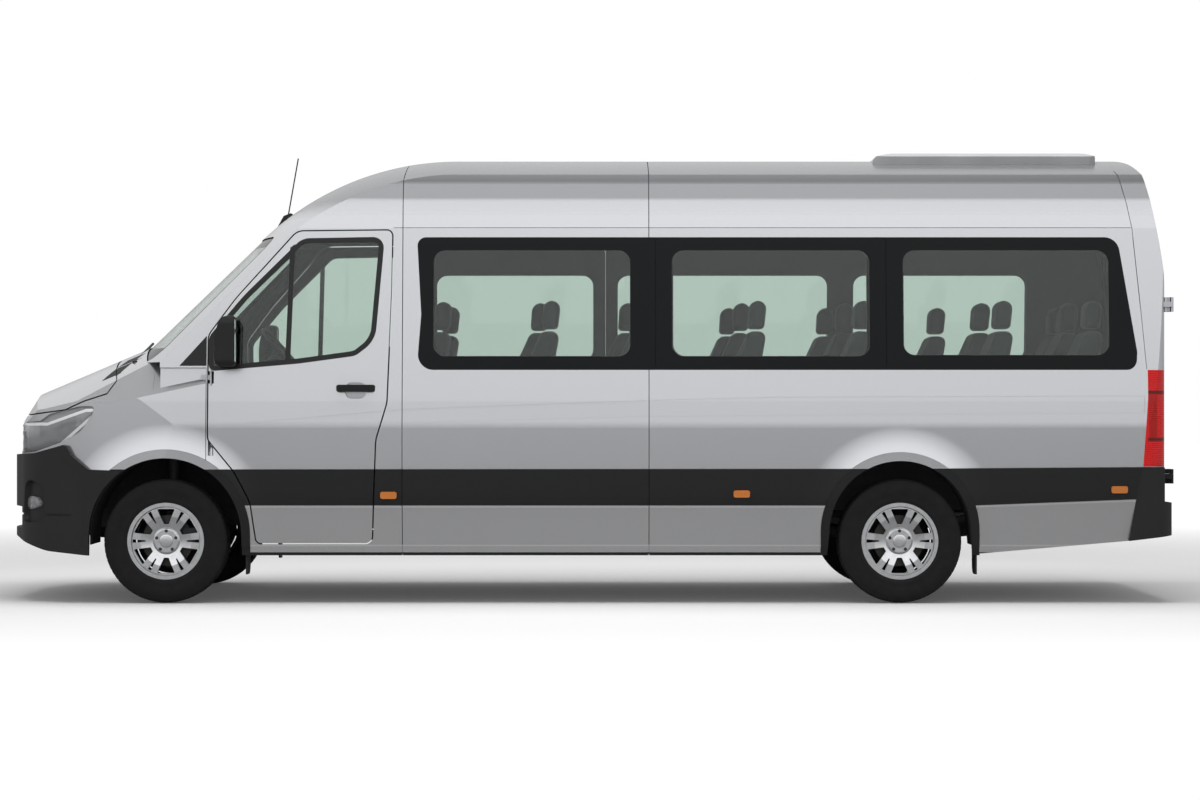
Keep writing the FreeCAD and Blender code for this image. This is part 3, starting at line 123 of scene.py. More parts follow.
# ------------------------------------------------------------------ surfaces
def grid_faces(rows, columns, wrap_rows=False, wrap_columns=False):
    """Four-cornered faces of a rows x columns grid of points, wrapped round where the surface closes on itself."""
    r = np.arange(rows if wrap_rows else rows - 1)[:, None]
    c = np.arange(columns if wrap_columns else columns - 1)[None, :]
    r2, c2 = (r + 1) % rows, (c + 1) % columns
    quads = np.stack([r * columns + c, r2 * columns + c, r2 * columns + c2, r * columns + c2], -1)
    return quads.reshape(-1, 4)


def placed(name, data):
    """A new object, linked to the scene."""
    obj = bpy.data.objects.new(name, data)
    bpy.context.scene.collection.objects.link(obj)
    return obj


def mesh_piece(name, body, parts, finish, smooth=True, weld=False):
    """One piece from a list of (points, faces): the points are put end to end and each part's faces moved along."""
    points = np.concatenate([np.asarray(p, float).reshape(-1, 3) for p, _ in parts])
    starts = np.cumsum([0] + [len(np.asarray(p).reshape(-1, 3)) for p, _ in parts])
    faces = [[int(k) + int(start) for k in face] for (_, own), start in zip(parts, starts) for face in own]
    mesh = bpy.data.meshes.new(name)
    mesh.from_pydata(points.tolist(), [], faces)
    mesh.validate()
    if smooth:
        mesh.polygons.foreach_set("use_smooth", np.ones(len(mesh.polygons), bool))
    mesh.materials.append(finish)
    obj = placed(name, mesh)
    if weld:
        joined = obj.modifiers.new("weld", "WELD")
        joined.merge_threshold = 0.0002
    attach(obj, body)
    return obj


def fan(points):
    """Closes a ring of points: its middle point is added, and each face is the middle and one edge of the ring."""
    ring = np.asarray(points, float)
    n = len(ring)
    k = np.arange(n)
    return np.vstack([ring, ring.mean(0)]), np.stack([k, (k + 1) % n, np.full(n, n)], -1)


def capped(rings):
    """A tube through rings of points, closed at both ends."""
    return [(rings, grid_faces(*rings.shape[:2], wrap_columns=True)[:, ::-1]), fan(rings[0][::-1]), fan(rings[-1])]


def rounded_path(corners, steps=6, spacing=None):
    """Closed path through (u, v, radius) corners, anticlockwise: each corner is an arc that meets its two sides, and
    long straight runs are divided at about the spacing."""
    pts = np.array([(c[0], c[1]) for c in corners], float)
    out = []
    for i, (_, _, r) in enumerate(corners):
        here, before, after = pts[i], pts[i - 1], pts[(i + 1) % len(pts)]
        a, b = before - here, after - here
        la, lb = np.linalg.norm(a), np.linalg.norm(b)
        a, b = a / la, b / lb
        half = np.arccos(np.clip(a @ b, -1, 1)) / 2
        if r <= 0 or half > np.pi / 2 - 0.01:
            out.append(here[None])
            continue
        reach = min(r / np.tan(half), 0.49 * la, 0.49 * lb)
        start, end = here + a * reach, here + b * reach
        s = np.linspace(0, 1, steps)[:, None]
        out.append((1 - s) ** 2 * start + 2 * s * (1 - s) * (here * 0.72 + (start + end) * 0.14) + s ** 2 * end)
    path = np.vstack(out)
    if spacing:
        nxt = np.roll(path, -1, 0)
        length = np.linalg.norm(nxt - path, axis=1)
        parts = [p + (q - p) * np.arange(max(1, int(n // spacing)))[:, None] / max(1, int(n // spacing))
                 for p, q, n in zip(path, nxt, length)]
        path = np.vstack(parts)
    return path


FLANK_Z = (0.282, 0.620, 1.050, 1.190, 2.212)     # heights of the side's corners, and its half width there
FLANK_Y = (0.962, 1.005, 1.010, 1.002, 0.924)


def flank(z):
    """Half width of the body at a height, straight between the section's corners."""
    return np.interp(z, FLANK_Z, FLANK_Y)


def flank_ribbon(path, widths, lift, depth, side):
    """A closed flat strip on the flank: the path and the path pushed outwards by the widths, each at the flank's
    half width plus the lift, and again less the depth, joined in a four-sided tube."""
    ahead, behind = np.roll(path, -1, 0), np.roll(path, 1, 0)
    tangent = ahead - behind
    tangent /= np.linalg.norm(tangent, axis=1)[:, None]
    normal = np.stack([tangent[:, 1], -tangent[:, 0]], -1)
    inner, outer = path + normal * widths[0], path + normal * widths[1]
    loops = [(inner, lift), (outer, lift), (outer, lift - depth), (inner, lift - depth)]
    points = np.stack([np.stack([p[:, 0], side * (flank(p[:, 1]) + l), p[:, 1]], -1) for p, l in loops], 1)
    faces = grid_faces(len(path), 4, True, True)
    return [(points, faces if side > 0 else faces[:, ::-1])]


def shoulder(x, z):
    """Half width of the slanting shoulder between the bonnet and the pillar: a plane that closes in as it climbs and
    as it runs forwards."""
    return 1.004 + (0.1266 * (x + 2.3535) - 0.6548 * (z - 1.262)) / 0.7451


def flank_plate(corners, lift, depth, side, width=None):
    """A flat plate on the flank from its side outline: a front and a back face and a rim. It lies at the half widths
    given for its corners, or else at the flank's."""
    path = np.asarray(corners, float)
    half = flank(path[:, 1]) if width is None else width(path[:, 0], path[:, 1])
    front = np.stack([path[:, 0], side * (half + lift), path[:, 1]], -1)
    back = np.stack([path[:, 0], side * (half + lift - depth), path[:, 1]], -1)
    n = len(path)
    k = np.arange(n)
    rim = np.stack([k, (k + 1) % n, (k + 1) % n + n, k + n], -1)
    faces = [list(range(n))[::-1], list(range(n, 2 * n))] + rim.tolist()
    if side < 0:
        faces = [f[::-1] for f in faces]
    return np.vstack([front, back]), faces


def bowed_sheet(half, low, high, nose, depth=0.003, bulge=0.10):
    """An upright sheet across the vehicle: y runs from -half to half and x is the nose plus the bulge times the cube
    of |y| over half; its section is a thin upright rectangle, closed at both ends."""
    y = np.linspace(-half, half, 41)
    x = nose + bulge * (np.abs(y) / half) ** 3
    loop = ((0.0, low), (0.0, high), (depth, high), (depth, low))
    return capped(np.stack([np.stack([x + back, y, np.full(len(y), z)], -1) for back, z in loop], 1))


# ------------------------------------------------------------------ finishes
def maths_sign(operation):
    """The method behind a sign: it puts one maths node on the field and the value after the sign."""
    return lambda field, *other: field.nodes.maths(operation, field, *other)


class Field:
    """A value that changes over a surface. Formulas are written with +, -, *, <, >, abs, and | for the larger of
    two; each sign puts one maths node in the tree."""

    def __init__(self, nodes, socket):
        self.nodes, self.socket = nodes, socket

    def __rsub__(self, other):
        return self.nodes.maths("SUBTRACT", other, self)

    __add__, __sub__, __mul__ = map(maths_sign, ("ADD", "SUBTRACT", "MULTIPLY"))
    __or__, __lt__, __gt__, __abs__ = map(maths_sign, ("MAXIMUM", "LESS_THAN", "GREATER_THAN", "ABSOLUTE"))
    __ror__ = __or__


class Nodes:
    """Short ways to put nodes in a tree."""

    def __init__(self, tree):
        self.tree = tree

    def feed(self, socket, value):
        """Links a field to a socket, or writes a plain number or colour on it."""
        if isinstance(value, Field):
            self.tree.links.new(value.socket, socket)
        elif socket.type == "RGBA":
            socket.default_value = (*value, 1)
        else:
            socket.default_value = value

    def outputs(self, kind, **inputs):
        """The outputs of a new node with these inputs; an underscore stands for the blank in an input's name."""
        made = self.tree.nodes.new(kind)
        for name, value in inputs.items():
            self.feed(made.inputs[name.replace("_", " ")], value)
        return [Field(self, output) for output in made.outputs]

    def named(self, kind, output):
        """One output, by its name, of a new node without inputs."""
        return Field(self, self.tree.nodes.new(kind).outputs[output])

    def row(self, kind, values, at=(0, 1, 2), out=0, **settings):
        """A new node with its own settings and the values on its inputs by number; gives one output."""
        made = self.tree.nodes.new(kind)
        for name, value in settings.items():
            setattr(made, name, value)
        for number, value in zip(at, values):
            self.feed(made.inputs[number], value)
        return Field(self, made.outputs[out])

    def maths(self, operation, *values):
        return self.row("ShaderNodeMath", values, operation=operation)

    def split(self, vector):
        return self.outputs("ShaderNodeSeparateXYZ", Vector=vector)

    def ray(self, kind):
        """1 for rays of this kind."""
        return self.named("ShaderNodeLightPath", f"Is {kind} Ray")

    def ramp(self, value, low, high, start=0.0, end=1.0):
        """start where the value is at low, end where it is at high, and straight between."""
        return self.outputs("ShaderNodeMapRange", Value=value, From_Min=low, From_Max=high, To_Min=start, To_Max=end)[0]

    def shift(self, factor, start, end):
        """start where the factor is 0 and end where it is 1."""
        return self.ramp(factor, 0.0, 1.0, start, end)

    def between(self, value, low, high, soft=0.0005):
        """1 from low to high and 0 outside."""
        return self.ramp(value, low - soft, low + soft) * self.ramp(value, high + soft, high - soft)

    def blend(self, factor, first, second):
        """The first colour where the factor is 0, the second where it is 1."""
        return self.row("ShaderNodeMix", (factor, first, second), (0, 6, 7), 2, data_type="RGBA")

    def wave(self, value, rate):
        """A sine of the value at so many radians a metre."""
        return self.maths("SINE", value * rate)

    def distance(self, first, second):
        return self.maths("SQRT", first * first + second * second)


class Finish(Nodes):
    """A procedural material with one principled shader; xyz is the place and normal the way out."""

    def __init__(self, name, colour, rough, metal=0.0, **sockets):
        self.material = bpy.data.materials.new(name)
        self.material.use_nodes = True
        super().__init__(self.material.node_tree)
        self.shader = next(n for n in self.tree.nodes if n.type == "BSDF_PRINCIPLED")
        for socket, value in dict(sockets, Base_Color=colour, Roughness=rough, Metallic=metal).items():
            self.set(socket.replace("_", " "), value)
        self.place = self.named("ShaderNodeTexCoord", "Object")

    def set(self, socket, value):
        self.feed(self.shader.inputs[socket], value)

    @cached_property
    def xyz(self):
        return self.split(self.place)

    @cached_property
    def normal(self):
        return self.split(self.named("ShaderNodeNewGeometry", "Normal"))

    def noise(self, scale, detail=2.0):
        return self.outputs("ShaderNodeTexNoise", Vector=self.place, Scale=scale, Detail=detail)[0]

    def bump(self, height, depth, strength=1.0):
        self.set("Normal", self.outputs("ShaderNodeBump", Height=height, Distance=depth, Strength=strength)[0])

    def opening(self, x, z, corner):
        """1 inside a rounded rectangle in the side view, from the distance to its shrunken core."""
        beyond = [abs(place - (low + high) / 2) - ((high - low) / 2 - corner) | 0.0
                  for place, (low, high) in ((self.xyz[0], x), (self.xyz[2], z))]
        return self.ramp(self.distance(*beyond), corner + 0.0008, corner - 0.0008)

    def facing_in(self):
        """1 on faces that look towards the vehicle's inside or across an opening's edge, from the outward normal
        and the way from the middle line to the point."""
        x, y, z = self.xyz
        total = y * self.normal[1] + (z - 1.25) * self.normal[2] + x * 0.3 * self.normal[0]
        return self.ramp(total, 0.14, 0.10)


def shades(colour, dark, light):
    """The colour darkened, and the colour lightened as far as white."""
    return [c * dark for c in colour], [min(1.0, c * light) for c in colour]


def plain(name, colour, rough, metal=0.0, grain=0.0, grain_scale=400.0, **sockets):
    """A moulded or painted surface with slight colour change and a fine grain."""
    f = Finish(name, colour, rough, metal, **sockets)
    f.set("Base Color", f.blend(f.ramp(f.noise(3.0, 3.0), 0.3, 0.7), *shades(colour, 0.88, 1.08)))
    if grain:
        f.bump(f.noise(grain_scale, 3.0), grain)
    return f.material


FRONT_AXLE, REAR_AXLE = -2.4835, 1.8415
ARCHES = ((FRONT_AXLE, 0.408, 0.499), (REAR_AXLE, 0.423, 0.468))   # axle, height of the centre, radius of the lip
GRIPS = ((-1.3615, 1.266), (-0.8985, 1.266))    # cab door and sliding door handles, in the side view
SEAMS = (-1.0885, 0.3635)                       # upright joints between the side panels
FLANK_END = (3.405, 3.395)                      # where the side turns into the rear face
CREASE_HIGHLIGHT = (0.80, 0.81, 0.82)                     # painted highlights along the creases that edge the lower panels
SILVER = {"rough": 0.24, "metal": 0.75, "coat": 0.4}
ROOF_SHADE_FADE, BONNET_SHADE_FADE = (2.27, 2.38), (1.75, 1.60)       # heights where the painted shade on the roof's and the bonnet's tops comes in
BAND_START = (-2.44, -2.43)                     # the side band begins here, inside the front arch
PANES_X, PANES_Z = (-1.05, 3.26), (1.372, 2.160)          # reach of the side panes, behind which the wall is dark
VENT_X, VENT_Y = (-2.79, -2.68), (0.46, 0.78)   # bonnet vents, from the middle line outwards
REAR_GRIP_Y, REAR_GRIP_Z = (0.03, 0.21), (1.155, 1.205)


def shell_paint(body):
    """Silver paint outside with the dark side band, arch lips and sill, slightly darker silver below the band as
    painted shade between two painted highlight lines along its creases, darker silver on the upward-facing roof and
    bonnet tops as painted shade, black handles, and grey lining inside."""
    f = Finish("shell_paint", body.paint, SILVER["rough"], SILVER["metal"], Coat_Weight=SILVER["coat"],
               Coat_Roughness=0.08)
    x, y, z = f.xyz
    upward, outward = f.normal[2], abs(y)
    silver = f.blend(f.ramp(f.noise(900.0), 0.35, 0.65), *shades(body.paint, 0.95, 1.04))
    # Painted shade: upward-facing faces of the roof and the bonnet are blended to darker silvers.
    roof_shade = f.ramp(upward, 0.08, 0.45) * f.ramp(z, *ROOF_SHADE_FADE)
    bonnet = f.ramp(upward, 0.25, 0.85) * f.ramp(z, *BONNET_SHADE_FADE)
    silver = f.blend(bonnet, f.blend(roof_shade, silver, body.roof_shade), body.bonnet)
    band_top = (f.ramp(x, -2.3835, REAR_AXLE, body.band_high, body.band_high + 0.004)
                + f.ramp(x, REAR_AXLE, 3.3175, 0.0, 0.010))
    band_foot = f.ramp(x, 2.2715, 3.2755, body.band_low, body.band_low + 0.038)
    on_flank = f.ramp(x, *FLANK_END)
    below_top = z < band_top
    lower = (z < band_foot) * on_flank
    # Painted shade: the lower panels take a slightly darker, flat silver.
    colour = f.blend(lower, silver, body.shaded_lower_paint)
    # Painted highlights: bright lines along the creases at the band's foot and above the sill.
    crease_highlights = f.between(band_foot - z, 0.003, 0.013) | f.between(z, 0.336, 0.344)
    colour = f.blend(crease_highlights * on_flank, colour, CREASE_HIGHLIGHT)
    dark = below_top * (1.0 - lower) * f.ramp(x, *BAND_START)
    behind_panes = f.between(z, *PANES_Z) * f.between(x, *PANES_X)
    dark = dark | behind_panes * f.ramp(f.ramp(z, *FLANK_Z[3:], *FLANK_Y[3:]) - outward, 0.003, 0.005)
    swell = 0.0
    for axle, centre, lip in ARCHES:
        reach = f.distance(x - axle, z - centre | 0.0)
        dark = dark | f.ramp(reach, lip + 0.0005, lip - 0.0005) * below_top
        near = f.ramp(reach, lip + 0.15, lip)
        swell = swell | near * near
    dark = dark | f.ramp(z, 0.3005, 0.2995)
    for across, height in GRIPS:
        grip = f.between(x, across - 0.13, across + 0.13) * f.between(z, height - 0.03, height + 0.03)
        dark = dark | grip * f.ramp(outward, 0.9985, 0.9995)
    vent = f.between(x - f.ramp(outward, 0.48, 0.76, 0.0, -0.10), *VENT_X) * f.between(outward, *VENT_Y)
    dark = dark | vent * f.ramp(upward, 0.45, 0.50)
    for seam in SEAMS:
        dark = dark | f.between(x, seam - 0.0022, seam + 0.0022) * f.ramp(z, 0.344, 0.346)
    rear_grip = f.between(y, *REAR_GRIP_Y) * f.between(z, *REAR_GRIP_Z)
    dark = dark | rear_grip * f.ramp(x, 3.4355, 3.4365)
    inside = f.facing_in()
    f.set("Base Color", f.blend(inside, f.blend(dark, colour, body.moulding), body.lining))
    plastic = inside | dark
    # The roof's painted shade also lowers its metal here and takes its coat away below.
    f.set("Metallic", f.shift(plastic, SILVER["metal"], 0.0) * f.shift(roof_shade, 1.0, 0.25))
    f.set("Roughness", f.shift(plastic, SILVER["rough"], 0.62))
    f.set("Coat Weight", f.shift(plastic | roof_shade, SILVER["coat"], 0.0))
    f.set("Specular IOR Level", f.shift(plastic, 0.5, 0.3))
    f.bump(swell * f.ramp(outward, 0.93, 0.94), 0.018)
    return f.material


WINDOWS = {   # clear part of each side's printed panes: front, rear, foot, head
    "left": ((-0.905, 0.252, 1.455, 2.079), (0.500, 1.662, 1.455, 2.079), (1.862, 3.072, 1.462, 2.079)),
    "right": ((-0.992, 0.031, 1.460, 2.010), (0.191, 1.561, 1.460, 2.010), (1.733, 2.856, 1.460, 2.010))}
WINDOW_CORNER = 0.07


def pane_finish(glass, name, clear=None):
    """Tinted glass; clear(finish) gives 1 where light passes and 0 where black print covers the pane."""
    f = Finish(name, glass.tint, 0.02, IOR=1.45, Transmission_Weight=1.0, Specular_IOR_Level=0.15)
    if clear:
        seen = clear(f)
        f.set("Base Color", f.blend(seen, glass.border, glass.tint))
        f.set("Transmission Weight", seen)
        f.set("Roughness", f.shift(seen, 0.12, 0.02))
    return f.material


def side_windows(f):
    """The rounded windows of the side a point is on."""
    seen = {}
    for side, rows in WINDOWS.items():
        front, middle, rear = (f.opening((x0, x1), (z0, z1), WINDOW_CORNER) for x0, x1, z0, z1 in rows)
        seen[side] = front | middle | rear
    right = f.xyz[1] > 0.0
    return seen["right"] * right | seen["left"] * (1.0 - right)


def within(f, edge):
    """1 where a point is nearer the middle line than the edge."""
    return f.ramp(edge - abs(f.xyz[1]), -0.001, 0.001)


def screen_window(f):
    """The windscreen inside its printed border, whose sides close in as they climb."""
    z = f.xyz[2]
    return within(f, f.ramp(z, 1.428, 2.174, 0.818, 0.732)) * f.between(z, 1.505, 2.110)


def rear_window(f):
    """The rear door panes inside their printed borders."""
    z = f.xyz[2]
    inside = within(f, f.ramp(z, 1.396, 2.138, 0.722, 0.680)) * f.ramp(abs(f.xyz[1]), 0.146, 0.148)
    return inside * f.between(z, 1.436, 2.098)


def grille_finish(body):
    """Black bars inside a silver surround: the bars fill a trapezium that widens as it climbs."""
    silver = (0.50, 0.51, 0.52)
    f = Finish("grille_paint", silver, 0.3, 0.6)
    z = f.xyz[2]
    bars = within(f, f.ramp(z, 0.886, 1.066, 0.562, 0.602)) * f.between(z, 0.887, 1.065)
    f.set("Base Color", f.blend(bars, silver, body.moulding))
    f.set("Metallic", f.shift(bars, 0.6, 0.0))
    f.set("Roughness", f.shift(bars, 0.3, 0.5))
    return f.material


def mesh_finish():
    """Black plastic mesh: crossed rows of small dark holes between slightly lighter threads."""
    f = Finish("black_mesh", (0.012, 0.012, 0.013), 0.6, Specular_IOR_Level=0.3)
    weave = f.wave(f.xyz[1] + f.xyz[2], 420.0) * f.wave(f.xyz[1] - f.xyz[2], 420.0)
    f.set("Base Color", f.blend(f.ramp(weave, -0.2, 0.2), (0.003, 0.003, 0.003), (0.020, 0.020, 0.021)))
    f.bump(weave, 0.0012, 0.6)
    return f.material


def tail_lamp_finish():
    """Red ribbed lens with a deep red rim round a darker window near its front edge."""
    f = Finish("tail_lens", (0.55, 0.012, 0.012), 0.12, Specular_IOR_Level=0.3)
    x, _, z = f.xyz
    ribs = f.wave(z, 520.0)
    red = f.blend(f.ramp(ribs, -1.0, 1.0), (0.74, 0.007, 0.008), (0.90, 0.011, 0.011))
    rim = f.between(z, 0.955, 1.252, 0.003) - f.between(z, 0.975, 1.232, 0.003)
    red = f.blend(rim * f.between(x, 3.296, 3.42, 0.002), red, (0.16, 0.004, 0.004))
    window = f.between(z, 0.975, 1.232, 0.004) * f.between(x, 3.300, 3.352, 0.002)
    f.set("Base Color", f.blend(window, red, (0.52, 0.010, 0.007)))
    f.bump(ribs, 0.0008, 0.5)
    return f.material


def lamp_cover_finish():
    """Headlamp cover: smoky clear plastic with a bright light guide that follows its upper and rear edges."""
    smoke, smoke_clear = (0.55, 0.56, 0.57), 0.6
    f = Finish("lamp_lens", smoke, 0.03, IOR=1.4, Transmission_Weight=smoke_clear)
    x, _, z = f.xyz
    upper = f.between(f.ramp(x, -3.20, -2.95, 1.075, 1.157) - z, 0.012, 0.030, 0.001)
    rear = f.between(x * 0.63 + z * -0.77, -2.690, -2.672, 0.001)
    guide = upper | rear
    f.set("Base Color", f.blend(guide, smoke, (0.92, 0.93, 0.94)))
    f.set("Transmission Weight", f.shift(guide, smoke_clear, 0.0))
    return f.material


def lamp_finish(name, colour):
    """Coloured lens plastic with fine upright prisms."""
    f = Finish(name, colour, 0.08, Coat_Weight=0.6, Coat_Roughness=0.05)
    prisms = f.wave(f.xyz[2], 900.0)
    f.set("Base Color", f.blend(f.ramp(prisms, -1.0, 1.0), *shades(colour, 0.7, 1.15)))
    f.bump(prisms, 0.0006, 0.5)
    return f.material


def wheel_finish():
    """Bright alloy face; the disc behind the spokes is dark turned iron."""
    f = Finish("wheel_alloy", (0.62, 0.63, 0.64), 0.28, 0.85)
    deep = f.ramp(abs(f.xyz[1]), 0.893, 0.889)
    face = f.blend(f.ramp(f.noise(30.0), 0.3, 0.7), (0.58, 0.59, 0.60), (0.68, 0.69, 0.70))
    f.set("Base Color", f.blend(deep, face, (0.06, 0.058, 0.055)))
    f.set("Roughness", f.shift(deep, 0.28, 0.5))
    return f.material


def cloth_finish(name, colour):
    """Woven cloth: two crossed sets of threads and a soft wash of shade."""
    f = Finish(name, colour, 0.9, Sheen_Weight=0.3, Sheen_Roughness=0.5)
    threads = [f.wave(place, 2100.0) for place in f.xyz]
    weave = threads[0] * threads[1] + threads[2]
    f.set("Base Color", f.blend(f.ramp(weave + f.noise(25.0) * 2.0, -1.0, 3.0), *shades(colour, 0.65, 1.5)))
    f.bump(weave, 0.0004, 0.6)
    return f.material


def tyre_finish():
    """Black rubber with dusty grain."""
    f = Finish("tyre_rubber", (0.010, 0.010, 0.011), 0.8, Specular_IOR_Level=0.3)
    f.set("Base Color", f.blend(f.ramp(f.noise(18.0, 3.0), 0.3, 0.8), (0.008, 0.008, 0.009), (0.013, 0.013, 0.014)))
    f.bump(f.noise(700.0), 0.0004, 0.5)
    return f.material


def paint_node(name, finish):
    """Gives a CAD node its finish through its material slots."""
    slots = NODES[name].material_slots
    if not len(slots):
        NODES[name].data.materials.append(finish)
    for slot in slots:
        slot.material = finish


BLACK_PLASTIC = (0.02, 0.02, 0.021)


# ------------------------------------------------------------------ operators
class MINIBUS_OT_shell(bpy.types.Operator):
    """Paint the shell, mouldings, underside and fittings that CAD made"""
    bl_idname = "minibus.shell"
    bl_label = "Paint shell"

    def execute(self, context):
        body = context.scene.minibus_body
        finishes = (
            (("left_side_wall", "right_side_wall", "roof_panel", "wings", "bonnet", "front_panel", "sliding_door",
              "cowl_panel", "left_cab_door", "right_cab_door", "left_rear_door", "right_rear_door"), shell_paint(body)),
            (("front_bumper", "rear_bumper", "left_mirror", "right_mirror", "wipers", "steering_wheel",
              "steering_column", "antenna", "mud_flaps"),
             plain("charcoal_moulding", body.moulding, 0.55, grain=0.0003, Specular_IOR_Level=0.35)),
            (("grille",), grille_finish(body)),
            (("dashboard",), plain("dash_grain", (0.10, 0.105, 0.10), 0.6, grain=0.0006)),
            (("roof_unit",), plain("unit_shell", (0.42, 0.43, 0.44), 0.4)),
            (("chassis_rails", "floor_pan"), plain("underseal", BLACK_PLASTIC, 0.8, grain=0.001, grain_scale=120.0)),
            (("engine_block", "rear_axle", "leaf_springs", "left_knuckle", "right_knuckle", "driveline",
              "front_suspension"),
             plain("dark_casting", (0.05, 0.05, 0.05), 0.6, 0.5, grain=0.0008, grain_scale=150.0)),
            (("radiator",), plain("radiator_core", (0.03, 0.03, 0.032), 0.5, 0.3)),
            (("exhaust",), plain("exhaust_steel", (0.22, 0.21, 0.20), 0.45, 0.8, grain=0.0005)),
            (("fuel_tank",), plain("tank_plastic", BLACK_PLASTIC, 0.5, grain=0.0006)),
            (("seat_frames",), plain("seat_legs", (0.05, 0.05, 0.052), 0.5, 0.3, grain=0.0003)))
        for names, finish in finishes:
            for name in names:
                paint_node(name, finish)
        return {"FINISHED"}


class MINIBUS_OT_glazing(bpy.types.Operator):
    """Glaze the windows and colour the lamps"""
    bl_idname = "minibus.glazing"
    bl_label = "Glaze windows and lamps"

    def execute(self, context):
        glass = context.scene.minibus_glass
        rear, clear = pane_finish(glass, "printed_rear_pane", rear_window), pane_finish(glass, "clear_pane")
        paint_node("side_glass", pane_finish(glass, "printed_side_pane", side_windows))
        paint_node("windscreen", pane_finish(glass, "printed_screen", screen_window))
        for side, _ in SIDES:
            paint_node(f"{side}_rear_door_glass", rear)
            paint_node(f"{side}_cab_door_glass", clear)
        paint_node("tail_lamps", tail_lamp_finish())
        paint_node("side_markers", lamp_finish("marker_lens", (0.75, 0.22, 0.02)))
        return {"FINISHED"}


TYRE_HAIR = 0.0005          # how far a treaded tyre stays inside the plain one
BEAD_RADIUS = 0.2265
TREAD_EDGE = 0.83           # the tread's half width, as a share of the tyre's
TREAD_CROWN = 0.0035        # drop of the tread from its middle to its edge
GROOVES = (-0.5, -0.17, 0.17, 0.5)
SIPE_SLANT = 1.1            # how many blocks a sipe leans over from the middle to the side
BOLTS, BOLT_CIRCLE = 5, 0.0595


